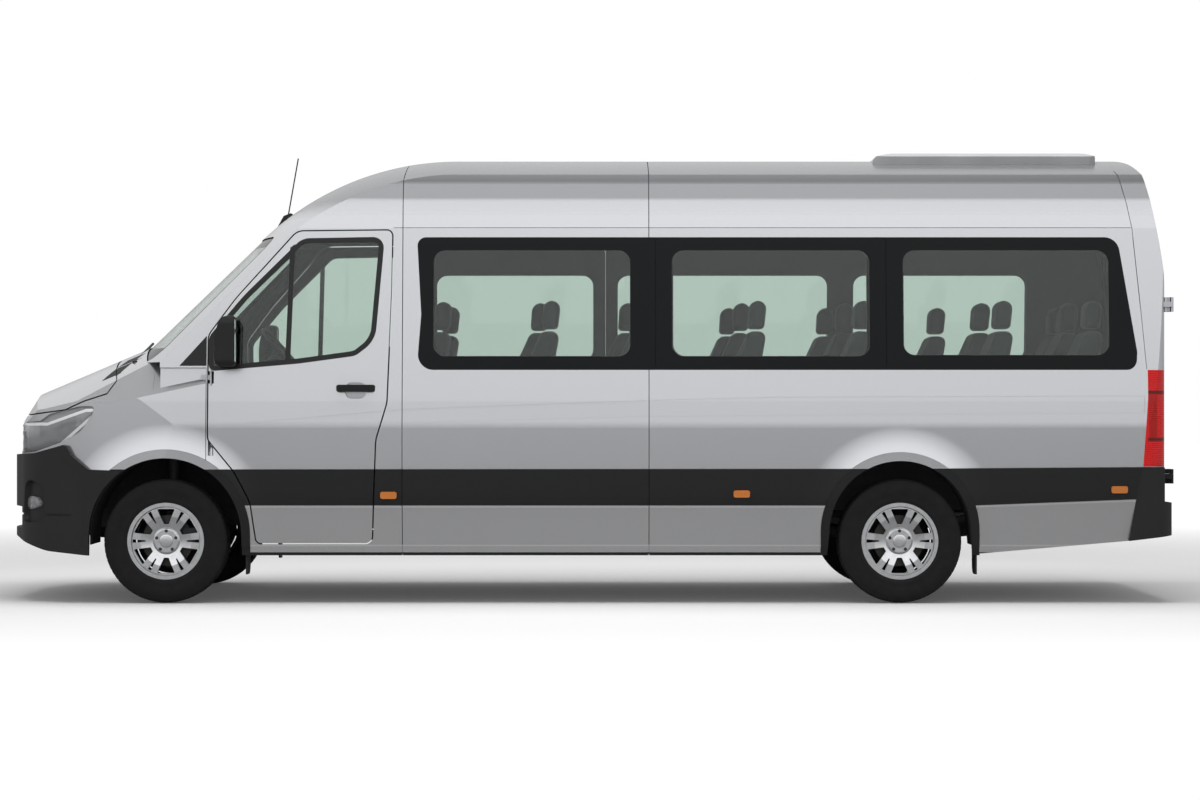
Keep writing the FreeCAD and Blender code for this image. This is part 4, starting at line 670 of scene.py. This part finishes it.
class MINIBUS_OT_wheels(bpy.types.Operator):
    """Finish the rims and replace the plain tyres with treaded ones"""
    bl_idname = "minibus.wheels"
    bl_label = "Fit treaded tyres"

    def execute(self, context):
        settings = context.scene.minibus_wheels
        alloy, rubber = wheel_finish(), tyre_finish()
        steel = plain("bolt_steel", (0.07, 0.07, 0.072), 0.35, 0.8)
        shield = plain("dust_shield", BLACK_PLASTIC, 0.7)
        for end in ("front", "rear"):
            for side, sign in SIDES:
                wheel = f"{end}_{side}"
                hub = f"{wheel}_road_wheel"
                paint_node(f"{wheel}_wheel", alloy)
                low, high = map(np.array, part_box(f"{wheel}_tyre"))
                middle = (low + high) / 2
                treaded = mesh_piece(f"{wheel}_treaded_tyre", hub, self.tyre(middle, (high - low) / 2, sign, settings),
                                     rubber)
                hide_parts(f"{wheel}_tyre")
                mesh_piece(f"{wheel}_wheel_bolts", hub, self.bolts(middle, sign), steel, smooth=False)
                mesh_piece(f"{wheel}_centre_cap", hub, self.cap(middle, sign), alloy)
                carrier = f"{side}_hub_carrier" if end == "front" else "body"
                mesh_piece(f"{wheel}_dust_shield", carrier, self.shield(middle, sign), shield)
        return {"FINISHED"}

    def tyre(self, centre, half, sign, settings):
        """A profile of (radius, share of the half width) carried round the axle; where the profile is on the tread,
        four grooves run round and slanted sipes cut across, both as smooth steps in the radius."""
        r, w = half[0] - TYRE_HAIR, half[1] - TYRE_HAIR
        bead = BEAD_RADIUS
        wall = np.array([(bead, 0.86), (bead + 0.010, 0.93), (bead + 0.022, 0.955), (bead + 0.030, 0.945),
                         (bead + 0.05, 0.965), (r - 0.075, 1.0), (r - 0.050, 0.998), (r - 0.036, 0.985),
                         (r - 0.030, 0.965), (r - 0.018, 0.935), (r - 0.007, 0.885)])
        across = np.linspace(TREAD_EDGE, -TREAD_EDGE, 61)
        tread = np.stack([r - TREAD_CROWN * np.abs(across / TREAD_EDGE) ** 3, across], -1)
        inner = np.array([(bead, -0.86), (bead - 0.006, -0.5), (bead - 0.006, 0.5)])
        profile = np.vstack([wall, tread, (wall * [1, -1])[::-1][:-1], inner])
        a = np.linspace(0, 2 * np.pi, settings.blocks * 6, endpoint=False)[:, None]
        place, share = np.arange(len(profile)), profile[:, 1]
        on_tread = (place >= len(wall)) & (place < len(wall) + len(tread))
        grooves = np.zeros(len(profile))
        for groove in GROOVES:
            grooves = np.maximum(grooves, np.clip(1.6 - np.abs(share - groove) / 0.028, 0, 1))
        phase = (a * settings.blocks / (2 * np.pi) + SIPE_SLANT * np.abs(share)) % 1.0
        sipe = np.where((phase < 0.20) & (np.abs(share) > 0.2), 0.8, 0.0)
        radius = profile[:, 0] - np.maximum(grooves, sipe) * on_tread * settings.groove
        offset = np.broadcast_to(sign * share * w, radius.shape)
        points = np.stack([centre[0] + radius * np.cos(a), centre[1] + offset, centre[2] + radius * np.sin(a)], -1)
        faces = grid_faces(len(a), len(profile), True, True)
        return [(points, faces if sign < 0 else faces[:, ::-1])]

    def turned(self, profile, middle, sign, sides):
        """A lathe-turned piece about the axle: each (radius, distance outboard) of the profile swept round a circle."""
        r, out = np.array(profile).T
        a = np.linspace(0, 2 * np.pi, sides, endpoint=False)
        y = np.broadcast_to(middle[1] + sign * out[:, None], (len(r), sides))
        points = np.stack([middle[0] + r[:, None] * np.cos(a), y, middle[2] + r[:, None] * np.sin(a)], -1)
        faces = grid_faces(len(r), sides, wrap_columns=True)
        end = fan(points[-1] if sign < 0 else points[-1][::-1])
        return [(points, faces if sign < 0 else faces[:, ::-1]), end]

    def cap(self, middle, sign):
        """Plain round cap over the hub's bore, slightly domed, with no mark on it."""
        profile = (0.040, 0.0700), (0.040, 0.0745), (0.0375, 0.0765), (0.030, 0.0775), (0.012, 0.0785)
        return self.turned(profile, middle, sign, 40)

    def shield(self, middle, sign):
        """Brake dust shield: a pressed plate behind the brake, flat with a rolled rim."""
        profile = (0.194, -0.1010), (0.198, -0.0990), (0.196, -0.0900), (0.150, -0.0930), (0.02, -0.0930)
        return self.turned(profile, middle, sign, 72)

    def bolts(self, middle, sign):
        """Five bolt heads on the bolt circle: a round flange, then a six-sided head with a shallow crown."""
        parts = []
        for k in range(BOLTS):
            turn = np.pi / 2 + k * 2 * np.pi / BOLTS
            place = middle + BOLT_CIRCLE * np.array([np.cos(turn), 0, np.sin(turn)])
            parts += self.turned(((0.0098, 0.0710), (0.0098, 0.0735), (0.0092, 0.0740)), place, sign, 24)
            parts += self.turned(((0.0078, 0.0738), (0.0078, 0.0800), (0.0066, 0.0812)), place, sign, 6)
        return parts


def cad_triangles(name):
    """Points and triangles of a CAD node's mesh."""
    mesh = NODES[name].data
    points = np.zeros(len(mesh.vertices) * 3)
    mesh.vertices.foreach_get("co", points)
    corners = np.zeros(len(mesh.loops), int)
    mesh.loops.foreach_get("vertex_index", corners)
    return points.reshape(-1, 3), corners.reshape(-1, 3)


def solid_boxes(name):
    """Low and high corners of each separate solid in a CAD node: its vertices are joined where they meet or share
    a face, by passing the lowest label along the faces until none changes."""
    co, tri = cad_triangles(name)
    _, label = np.unique(np.round(co / 1e-5).astype(np.int64), axis=0, return_inverse=True)
    label = label.reshape(-1)
    corner = label[tri]
    group = np.arange(label.max() + 1)
    while True:
        low = group[corner].min(1)
        fresh = group.copy()
        for k in range(3):
            np.minimum.at(fresh, corner[:, k], low)
        fresh = fresh[fresh]
        if (fresh == group).all():
            break
        group = fresh
    mine = group[label]
    return [(co[mine == g].min(0), co[mine == g].max(0)) for g in np.unique(mine)]


SEAT_HAIR = 0.0015          # how far a pad's sides stay inside the plain seat's
BACK_HEIGHT, HEAD_HEIGHT = 0.487, 0.170
SIDE_ROUND = 0.038          # radius of a pad's sides
CHANNEL_AT, CHANNEL = 0.62, 0.006    # share of the half width where a sewn channel runs; its depth and width


class MINIBUS_OT_seats(bpy.types.Operator):
    """Replace the plain seat solids with padded cushions, backs and headrests"""
    bl_idname = "minibus.seats"
    bl_label = "Pad the seats"

    def execute(self, context):
        cabin = context.scene.minibus_cabin
        cloth = cloth_finish("seat_cloth", cabin.cloth)
        for node, name, outline, fill in (("seat_cushions", "cushion_pads", self.cushion, 0.6),
                                          ("seat_backs", "back_pads", self.back, 0.6),
                                          ("headrests", "headrest_pads", self.head, 0.7)):
            parts = []
            for low, high in solid_boxes(node):
                parts += self.pad(outline(low, high), low[1] + SEAT_HAIR, high[1] - SEAT_HAIR, cabin.crown)
            pads = mesh_piece(name, "body", parts, cloth)
            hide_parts(node)
        return {"FINISHED"}

    def cushion(self, low, high):
        """Side outline of a cushion: nearly level on top with a rolled front edge."""
        x0, x1, z0, z1 = low[0], high[0], low[2], high[2]
        return [(x0, z0, 0.03), (x1, z0, 0.02), (x1, z1 - 0.012, 0.03), (x0, z1, 0.045)]

    def back(self, low, high):
        """Side outline of a leaning back, thick at the lumbar and thin under the headrest."""
        x0, z0 = low[0], low[2]
        z1 = z0 + BACK_HEIGHT
        return [(x0, z0, 0.045), (x0 + 0.150, z0, 0.035), (x0 + 0.236, z1, 0.040), (x0 + 0.128, z1, 0.042),
                (x0 + 0.046, z0 + 0.310, 0.20)]

    def head(self, low, high):
        """Side outline of a headrest: its foot narrower than its rounded crown."""
        x0, z1 = high[0] - 0.118, high[2]
        z0 = z1 - HEAD_HEIGHT
        return [(x0, z0, 0.022), (x0 + 0.098, z0, 0.024), (x0 + 0.117, z1, 0.046), (x0 + 0.010, z1, 0.052)]

    def pad(self, corners, y0, y1, crown):
        """A side outline carried across the seat: it shrinks to nothing at both sides along a quarter circle, and
        swells by the crown in the middle, less where the outline is small; two sewn channels run up the face."""
        path = rounded_path(corners, 7, 0.018)
        middle = (path.min(0) + path.max(0)) / 2
        half = (y1 - y0) / 2
        t = np.linspace(-1, 1, 29)
        across = np.sign(t) * np.abs(t) ** 0.8 * half
        edge = np.clip((np.abs(across) - (half - SIDE_ROUND)) / SIDE_ROUND, 0, 1)
        inset = SIDE_ROUND * (1 - np.sqrt(1 - edge ** 2 * 0.9999))
        size = (path.max(0) - path.min(0)) / 2
        scale = 1 - inset[:, None] / size[None]
        channel = np.exp(-((np.abs(across) - half * CHANNEL_AT) / CHANNEL) ** 2) * CHANNEL
        shrink = 1 - (channel + crown * 0.35 * (across / half) ** 2)[:, None] / size[None]
        ring = middle + (path - middle)[None] * (scale * shrink)[:, None]
        y = np.repeat(((y0 + y1) / 2 + across)[:, None], len(path), 1)
        points = np.stack([ring[..., 0], y, ring[..., 1]], -1)
        return [(points, grid_faces(len(t), len(path), wrap_columns=True)), fan(points[0]), fan(points[-1][::-1])]


DOOR_EDGE = [   # cab door outline in the side view, anticlockwise, with corner radii
    (-2.2355, 0.962, 0.06), (-2.0785, 0.770, 0.25), (-1.9885, 0.600, 0.20), (-1.9535, 0.346, 0.04),
    (-1.2615, 0.346, 0.05), (-1.2395, 0.960, 0.20), (-1.1735, 1.180, 0.20), (-1.1475, 1.850, 0.0),
    (-1.1435, 2.206, 0.04), (-1.7110, 2.200, 0.09), (-2.0735, 1.800, 0.9), (-2.2355, 1.580, 0.09)]
DOOR_PANE = [   # its window
    (-2.2035, 1.392, 0.012), (-1.7035, 1.435, 0.20), (-1.3735, 1.480, 0.06), (-1.2715, 1.560, 0.12),
    (-1.2215, 2.136, 0.036), (-1.6725, 2.128, 0.07), (-2.0035, 1.800, 0.9), (-2.2055, 1.560, 0.06)]
DOOR_BAR = [(-1.7775, 1.432), (-1.7475, 1.434), (-1.7235, 2.118), (-1.7535, 2.096)]    # upright bar in that window
SLIDING_EDGE = [   # sliding door's opening
    (-1.0885, 0.348, 0.04), (0.1115, 0.348, 0.04), (0.1115, 2.204, 0.05), (-1.0885, 2.204, 0.05)]
PILLAR_FOOT = [(-2.400, 1.398), (-2.2400, 1.398), (-2.2400, 1.575)]
COWL_CORNER = [(-2.570, 1.256), (-2.506, 1.256), (-2.506, 1.428), (-2.570, 1.428)]     # gap beside the cowl's foot
MIRROR = [(1.064, 1.420, 0.02), (1.156, 1.420, 0.03), (1.156, 1.668, 0.03), (1.072, 1.668, 0.03)]   # y, z and radius
MIRROR_X = (-2.0590, -2.0565)     # faces of the mirror's glass
SEAL_EDGES = (0.0012, 0.0068)     # a seal's two sides, from the edge of an 8 mm gap
SEAL_LIFT, SEAL_DEPTH = -0.010, 0.004
TRIM_LIFT, TRIM_DEPTH = 0.0016, 0.004


class MINIBUS_OT_trim(bpy.types.Operator):
    """Add window surrounds, door seals, meshes, closing plates and the small black trim"""
    bl_idname = "minibus.trim"
    bl_label = "Fit trim and seals"

    def execute(self, context):
        black = plain("gloss_black_trim", (0.010, 0.010, 0.011), 0.28, Specular_IOR_Level=0.35)
        rubber = plain("seal_rubber", (0.012, 0.012, 0.012), 0.8)
        silvered = Finish("silvered_glass", (0.85, 0.87, 0.88), 0.02, 1.0).material
        mesh = mesh_finish()
        paint = NODES["wings"].material_slots[0].material
        pane, door = rounded_path(DOOR_PANE, 8, 0.06), rounded_path(DOOR_EDGE, 8, 0.08)
        inwards = [-width for width in SEAL_EDGES[::-1]]
        sliding = flank_ribbon(rounded_path(SLIDING_EDGE, 6, 0.1), inwards, SEAL_LIFT, SEAL_DEPTH, 1.0)
        pieces = [
            ("grille_mesh", "body", bowed_sheet(0.590, 0.890, 1.060, -3.4095), mesh),
            ("intake_mesh", "body", bowed_sheet(0.700, 0.400, 0.600, -3.4315), mesh),
            ("rear_sill_plate", "body", bowed_sheet(0.860, 0.450, 0.5875, 3.400, bulge=0.0), black),
            ("rear_door_centre_seal", "left_rear_door_body", self.centre_seal(), rubber)]
        for side, sign in SIDES:
            cab_door = f"{side}_cab_door_body"
            seal = flank_ribbon(door, SEAL_EDGES, SEAL_LIFT, SEAL_DEPTH, sign)
            surround = flank_ribbon(pane, (-0.006, 0.024), TRIM_LIFT, TRIM_DEPTH, sign)
            surround.append(flank_plate(DOOR_BAR, 0.0008, 0.003, sign))
            foot = flank_plate(PILLAR_FOOT, TRIM_LIFT, TRIM_DEPTH, sign)
            pieces += [
                (f"{side}_cowl_corner", "body", [flank_plate(COWL_CORNER, -0.002, 0.003, sign, shoulder)], paint),
                (f"{side}_cab_window_surround", cab_door, surround, black),
                (f"{side}_cab_door_seal", "body", seal, rubber),
                *([("sliding_door_seal", "body", sliding, rubber)] if side == "right" else []),
                (f"{side}_pillar_triangle", "body", [foot], black),
                (f"{side}_mirror_glass", cab_door, self.mirror_glass(sign), silvered)]
        for name, body, parts, finish in pieces:
            mesh_piece(name, body, parts, finish, smooth=False)
        return {"FINISHED"}

    def mirror_glass(self, sign):
        """A thin upright plate: the mirror's rounded outline at its two faces, with the rim between them."""
        outline = rounded_path(MIRROR, 6)
        rings = np.stack([np.stack([np.full(len(outline), x), sign * outline[:, 0], outline[:, 1]], -1)
                          for x in MIRROR_X])
        faces = grid_faces(2, len(outline), wrap_columns=True)
        turn = 1 if sign > 0 else -1
        return [(rings, faces[:, ::turn]), fan(rings[1][::turn]), fan(rings[0][::-turn])]

    def centre_seal(self):
        """A strip in the gap between the rear doors: at each height it lies behind the left door's skin near the gap,
        found by a ray from behind, and its section is a rectangle narrower than the gap."""
        points, corners = cad_triangles("left_rear_door")
        tree = BVHTree.FromPolygons(points.tolist(), corners.tolist())
        hits = [tree.ray_cast(Vector((5.0, -0.012, z)), Vector((-1, 0, 0)))[0] for z in np.linspace(0.80, 2.60, 61)]
        skin = np.array([tuple(hit) for hit in hits if hit is not None and hit.x > 3.0])
        loop = ((-0.010, -0.0028), (-0.010, 0.0028), (-0.022, 0.0028), (-0.022, -0.0028))
        return capped(np.stack([np.stack([skin[:, 0] + back, np.full(len(skin), y), skin[:, 2]], -1)
                                for back, y in loop], 1))


LENS_LOOK, LENS_LEAST = (-0.62, 0.62, 0.35), 0.30    # faces that look this way at least so much are the clear cover
LENS_WALL, BOWL_DEPTH = 0.003, 0.016
LAMP_BOWLS = ((0.700, 1.000, 0.042), (0.800, 1.015, 0.044), (0.890, 1.050, 0.034))    # y, z and radius
BOWL_RINGS = (   # share of the radius, and how far ahead of the dish's rim
    (1.06, 0.002), (1.0, 0.0), (0.86, -0.012), (0.62, -0.020), (0.55, -0.019), (0.50, -0.008), (0.34, -0.002),
    (0.12, 0.0))


class MINIBUS_OT_headlamps(bpy.types.Operator):
    """Turn the solid headlamps into clear lenses over silver buckets with bright reflectors"""
    bl_idname = "minibus.headlamps"
    bl_label = "Open up the headlamps"

    def execute(self, context):
        co, tri = cad_triangles("front_lamps")
        a, b, c = co[tri[:, 0]], co[tri[:, 1]], co[tri[:, 2]]
        normal = np.cross(b - a, c - a)
        normal /= np.linalg.norm(normal, axis=1)[:, None] + 1e-12
        side = np.sign((a[:, 1] + b[:, 1] + c[:, 1]) / 3)
        ahead, outboard, upward = LENS_LOOK
        lens = ahead * normal[:, 0] + outboard * side * normal[:, 1] + upward * normal[:, 2] > LENS_LEAST
        silver = plain("lamp_bucket", (0.42, 0.43, 0.44), 0.22, 0.6)
        chrome = Finish("lamp_reflector", (0.82, 0.83, 0.84), 0.08, 1.0).material
        cover = mesh_piece("headlamp_lenses", "body", [(co, tri[lens])], lamp_cover_finish(), weld=True)
        shell = cover.modifiers.new("wall", "SOLIDIFY")
        shell.thickness, shell.offset = LENS_WALL, -1.0
        mesh_piece("headlamp_buckets", "body", [(co, tri[~lens][:, ::-1])], silver, weld=True)
        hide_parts("front_lamps")
        tree = BVHTree.FromPolygons(co.tolist(), tri[lens].tolist())
        parts = []
        for sign in (-1.0, 1.0):
            for y, z, r in LAMP_BOWLS:
                place, facing, _, _ = tree.ray_cast(Vector((-5.0, sign * y, z)), Vector((1, 0, 0)))
                parts += self.bowl(np.array(place), np.array(facing), r)
        mesh_piece("headlamp_reflectors", "body", parts, chrome)
        return {"FINISHED"}

    def bowl(self, place, facing, radius):
        """A shallow dish and the round lens at its heart: rings of shrinking radius, set back along the way the
        lamp looks, which is halfway between straight ahead and square to the cover."""
        look = facing * np.sign(-facing[0] if abs(facing[0]) > 0.01 else 1.0) + np.array([-1.0, 0, 0])
        look /= np.linalg.norm(look)
        u = np.cross(look, [0, 0, 1.0])
        u /= np.linalg.norm(u)
        v = np.cross(u, look)
        centre = place - look * BOWL_DEPTH
        a = np.linspace(0, 2 * np.pi, 36, endpoint=False)[:, None]
        spoke = np.cos(a) * u + np.sin(a) * v
        points = np.stack([centre + look * ahead + radius * share * spoke for share, ahead in BOWL_RINGS])
        return [(points, grid_faces(len(BOWL_RINGS), len(a), wrap_columns=True)), fan(points[-1][::-1])]


GLOSS_STEPS = (   # how far the direction climbs, brightness of the studio there; both ends come first
    (-1.0, 0.20), (1.0, 0.42), (-0.30, 0.34), (-0.10, 0.52), (0.0, 0.70), (0.11, 0.74), (0.16, 0.86), (0.24, 1.12),
    (0.60, 1.32), (0.82, 0.50))
FAR_SHARE = 0.6                   # brightness beyond the vehicle, as a share of that on the camera's side
EYE = (0.075, -18.01, 1.197)      # the camera's place
FLOOR_HALF = 60.0
LAMPS = (("overhead", (0.0, -1.0, 7.5), (0, 0, 0.8), "key", (9.0, 5.0)),      # name, place, aim, setting and size
         ("side_fill", (0.5, -11.0, 3.4), (0, 0, 1.2), "fill", (9.0, 3.0)))


class MINIBUS_OT_studio(bpy.types.Operator):
    """Set up the floor, the soft light and the camera"""
    bl_idname = "minibus.studio"
    bl_label = "Set up studio"

    def execute(self, context):
        stage = context.scene.minibus_stage
        scene = context.scene
        scene.view_settings.view_transform = "Standard"
        self.floor(stage)
        self.world(scene, stage)
        for name, place, aim, power, size in LAMPS:
            self.light(name, place, aim, getattr(stage, power), size)
        camera = bpy.data.cameras.new("camera")
        camera.sensor_width, camera.lens = 36.0, stage.lens
        camera.clip_end = 200.0
        eye = placed("camera", camera)
        eye.location = EYE
        eye.rotation_euler = (math.pi / 2, 0, 0)
        scene.camera = eye
        return {"FINISHED"}

    def floor(self, stage):
        """A wide level plane that shows near-white to the camera and through glass, darker in gloss, and keeps the
        shadow."""
        corners = [(FLOOR_HALF * x, FLOOR_HALF * y, -0.0005) for x, y in ((-1, -1), (1, -1), (1, 1), (-1, 1))]
        mesh = bpy.data.meshes.new("studio_floor")
        mesh.from_pydata(corners, [], [(0, 1, 2, 3)])
        obj = placed("studio_floor", mesh)
        paper = Finish("floor_paper", stage.floor, 0.9, Specular_IOR_Level=0.1, Emission_Color=(1, 1, 1))
        seen = paper.ray("Camera") | paper.ray("Transmission")
        x, y, _ = paper.xyz
        far = paper.ramp(y, -1.7, -4.0) | paper.ramp(paper.distance(x, y), 5.0, 11.0)
        paper.set("Emission Strength", seen * paper.shift(far, stage.glow, 1.0))
        lit = paper.blend(far * seen, stage.floor, (0, 0, 0))
        paper.set("Base Color", paper.blend(paper.ray("Glossy"), lit, (0.30, 0.30, 0.30)))
        mesh.materials.append(paper.material)

    def world(self, scene, stage):
        """White where the camera looks at it, also through glass; panels of light by height for gloss, brightest
        above eye level and dimmer beyond the vehicle; and an even grey light for everything else."""
        world = bpy.data.worlds.new("studio_world")
        world.use_nodes = True
        scene.world = world
        world.node_tree.nodes.clear()
        n = Nodes(world.node_tree)
        _, along, climb = n.split(n.named("ShaderNodeTexCoord", "Generated"))
        panels = n.tree.nodes.new("ShaderNodeValToRGB")
        stops = panels.color_ramp.elements
        for at, (height, grey) in enumerate(GLOSS_STEPS):
            place = height / 2 + 0.5
            stop = stops[at] if at < 2 else stops.new(place)
            stop.position, stop.color = place, (grey, grey, grey * 1.01, 1)
        n.feed(panels.inputs[0], n.ramp(climb, -1.0, 1.0))
        dimmed = n.ramp(along, -0.2, 0.6, stage.gloss, stage.gloss * FAR_SHARE)
        gloss = n.outputs("ShaderNodeBackground", Color=Field(n, panels.outputs[0]), Strength=dimmed)[0]
        even = n.outputs("ShaderNodeBackground", Strength=stage.ambient)[0]
        white = n.outputs("ShaderNodeBackground", Color=(1, 1, 1))[0]
        light = n.row("ShaderNodeMixShader", (n.ray("Glossy"), even, gloss))
        surface = n.row("ShaderNodeMixShader", (n.ray("Camera") | n.ray("Transmission"), light, white))
        n.feed(n.tree.nodes.new("ShaderNodeOutputWorld").inputs[0], surface)

    def light(self, name, place, aim, power, size):
        lamp = bpy.data.lights.new(name, "AREA")
        lamp.energy, lamp.shape, lamp.size, lamp.size_y = power, "RECTANGLE", *size
        obj = placed(name, lamp)
        obj.visible_glossy = False
        obj.location = place
        obj.rotation_euler = (Vector(aim) - Vector(place)).to_track_quat("-Z", "Y").to_euler()


STEPS = (MINIBUS_OT_shell, MINIBUS_OT_glazing, MINIBUS_OT_headlamps, MINIBUS_OT_wheels, MINIBUS_OT_seats,
         MINIBUS_OT_trim, MINIBUS_OT_studio)


class MINIBUS_PT_sidebar(bpy.types.Panel):
    """Lists the settings and the steps that finish the minibus"""
    bl_idname = "MINIBUS_PT_sidebar"
    bl_label = "Minibus"
    bl_space_type = "VIEW_3D"
    bl_region_type = "UI"
    bl_category = "Minibus"

    def draw(self, context):
        for key, group in GROUPS:
            box = self.layout.box()
            for name in group.__annotations__:
                box.prop(getattr(context.scene, key), name)
        for step in STEPS:
            self.layout.operator(step.bl_idname)


def register():
    for key, group in GROUPS:
        bpy.utils.register_class(group)
        setattr(bpy.types.Scene, key, PointerProperty(type=group))
    for cls in (*STEPS, MINIBUS_PT_sidebar):
        bpy.utils.register_class(cls)


def unregister():
    for cls in (MINIBUS_PT_sidebar, *reversed(STEPS)):
        bpy.utils.unregister_class(cls)
    for key, group in reversed(GROUPS):
        delattr(bpy.types.Scene, key)
        bpy.utils.unregister_class(group)


def main():
    register()
    for step in STEPS:
        space, name = step.bl_idname.split(".")
        getattr(getattr(bpy.ops, space), name)()


if __name__ == "__main__":
    main()
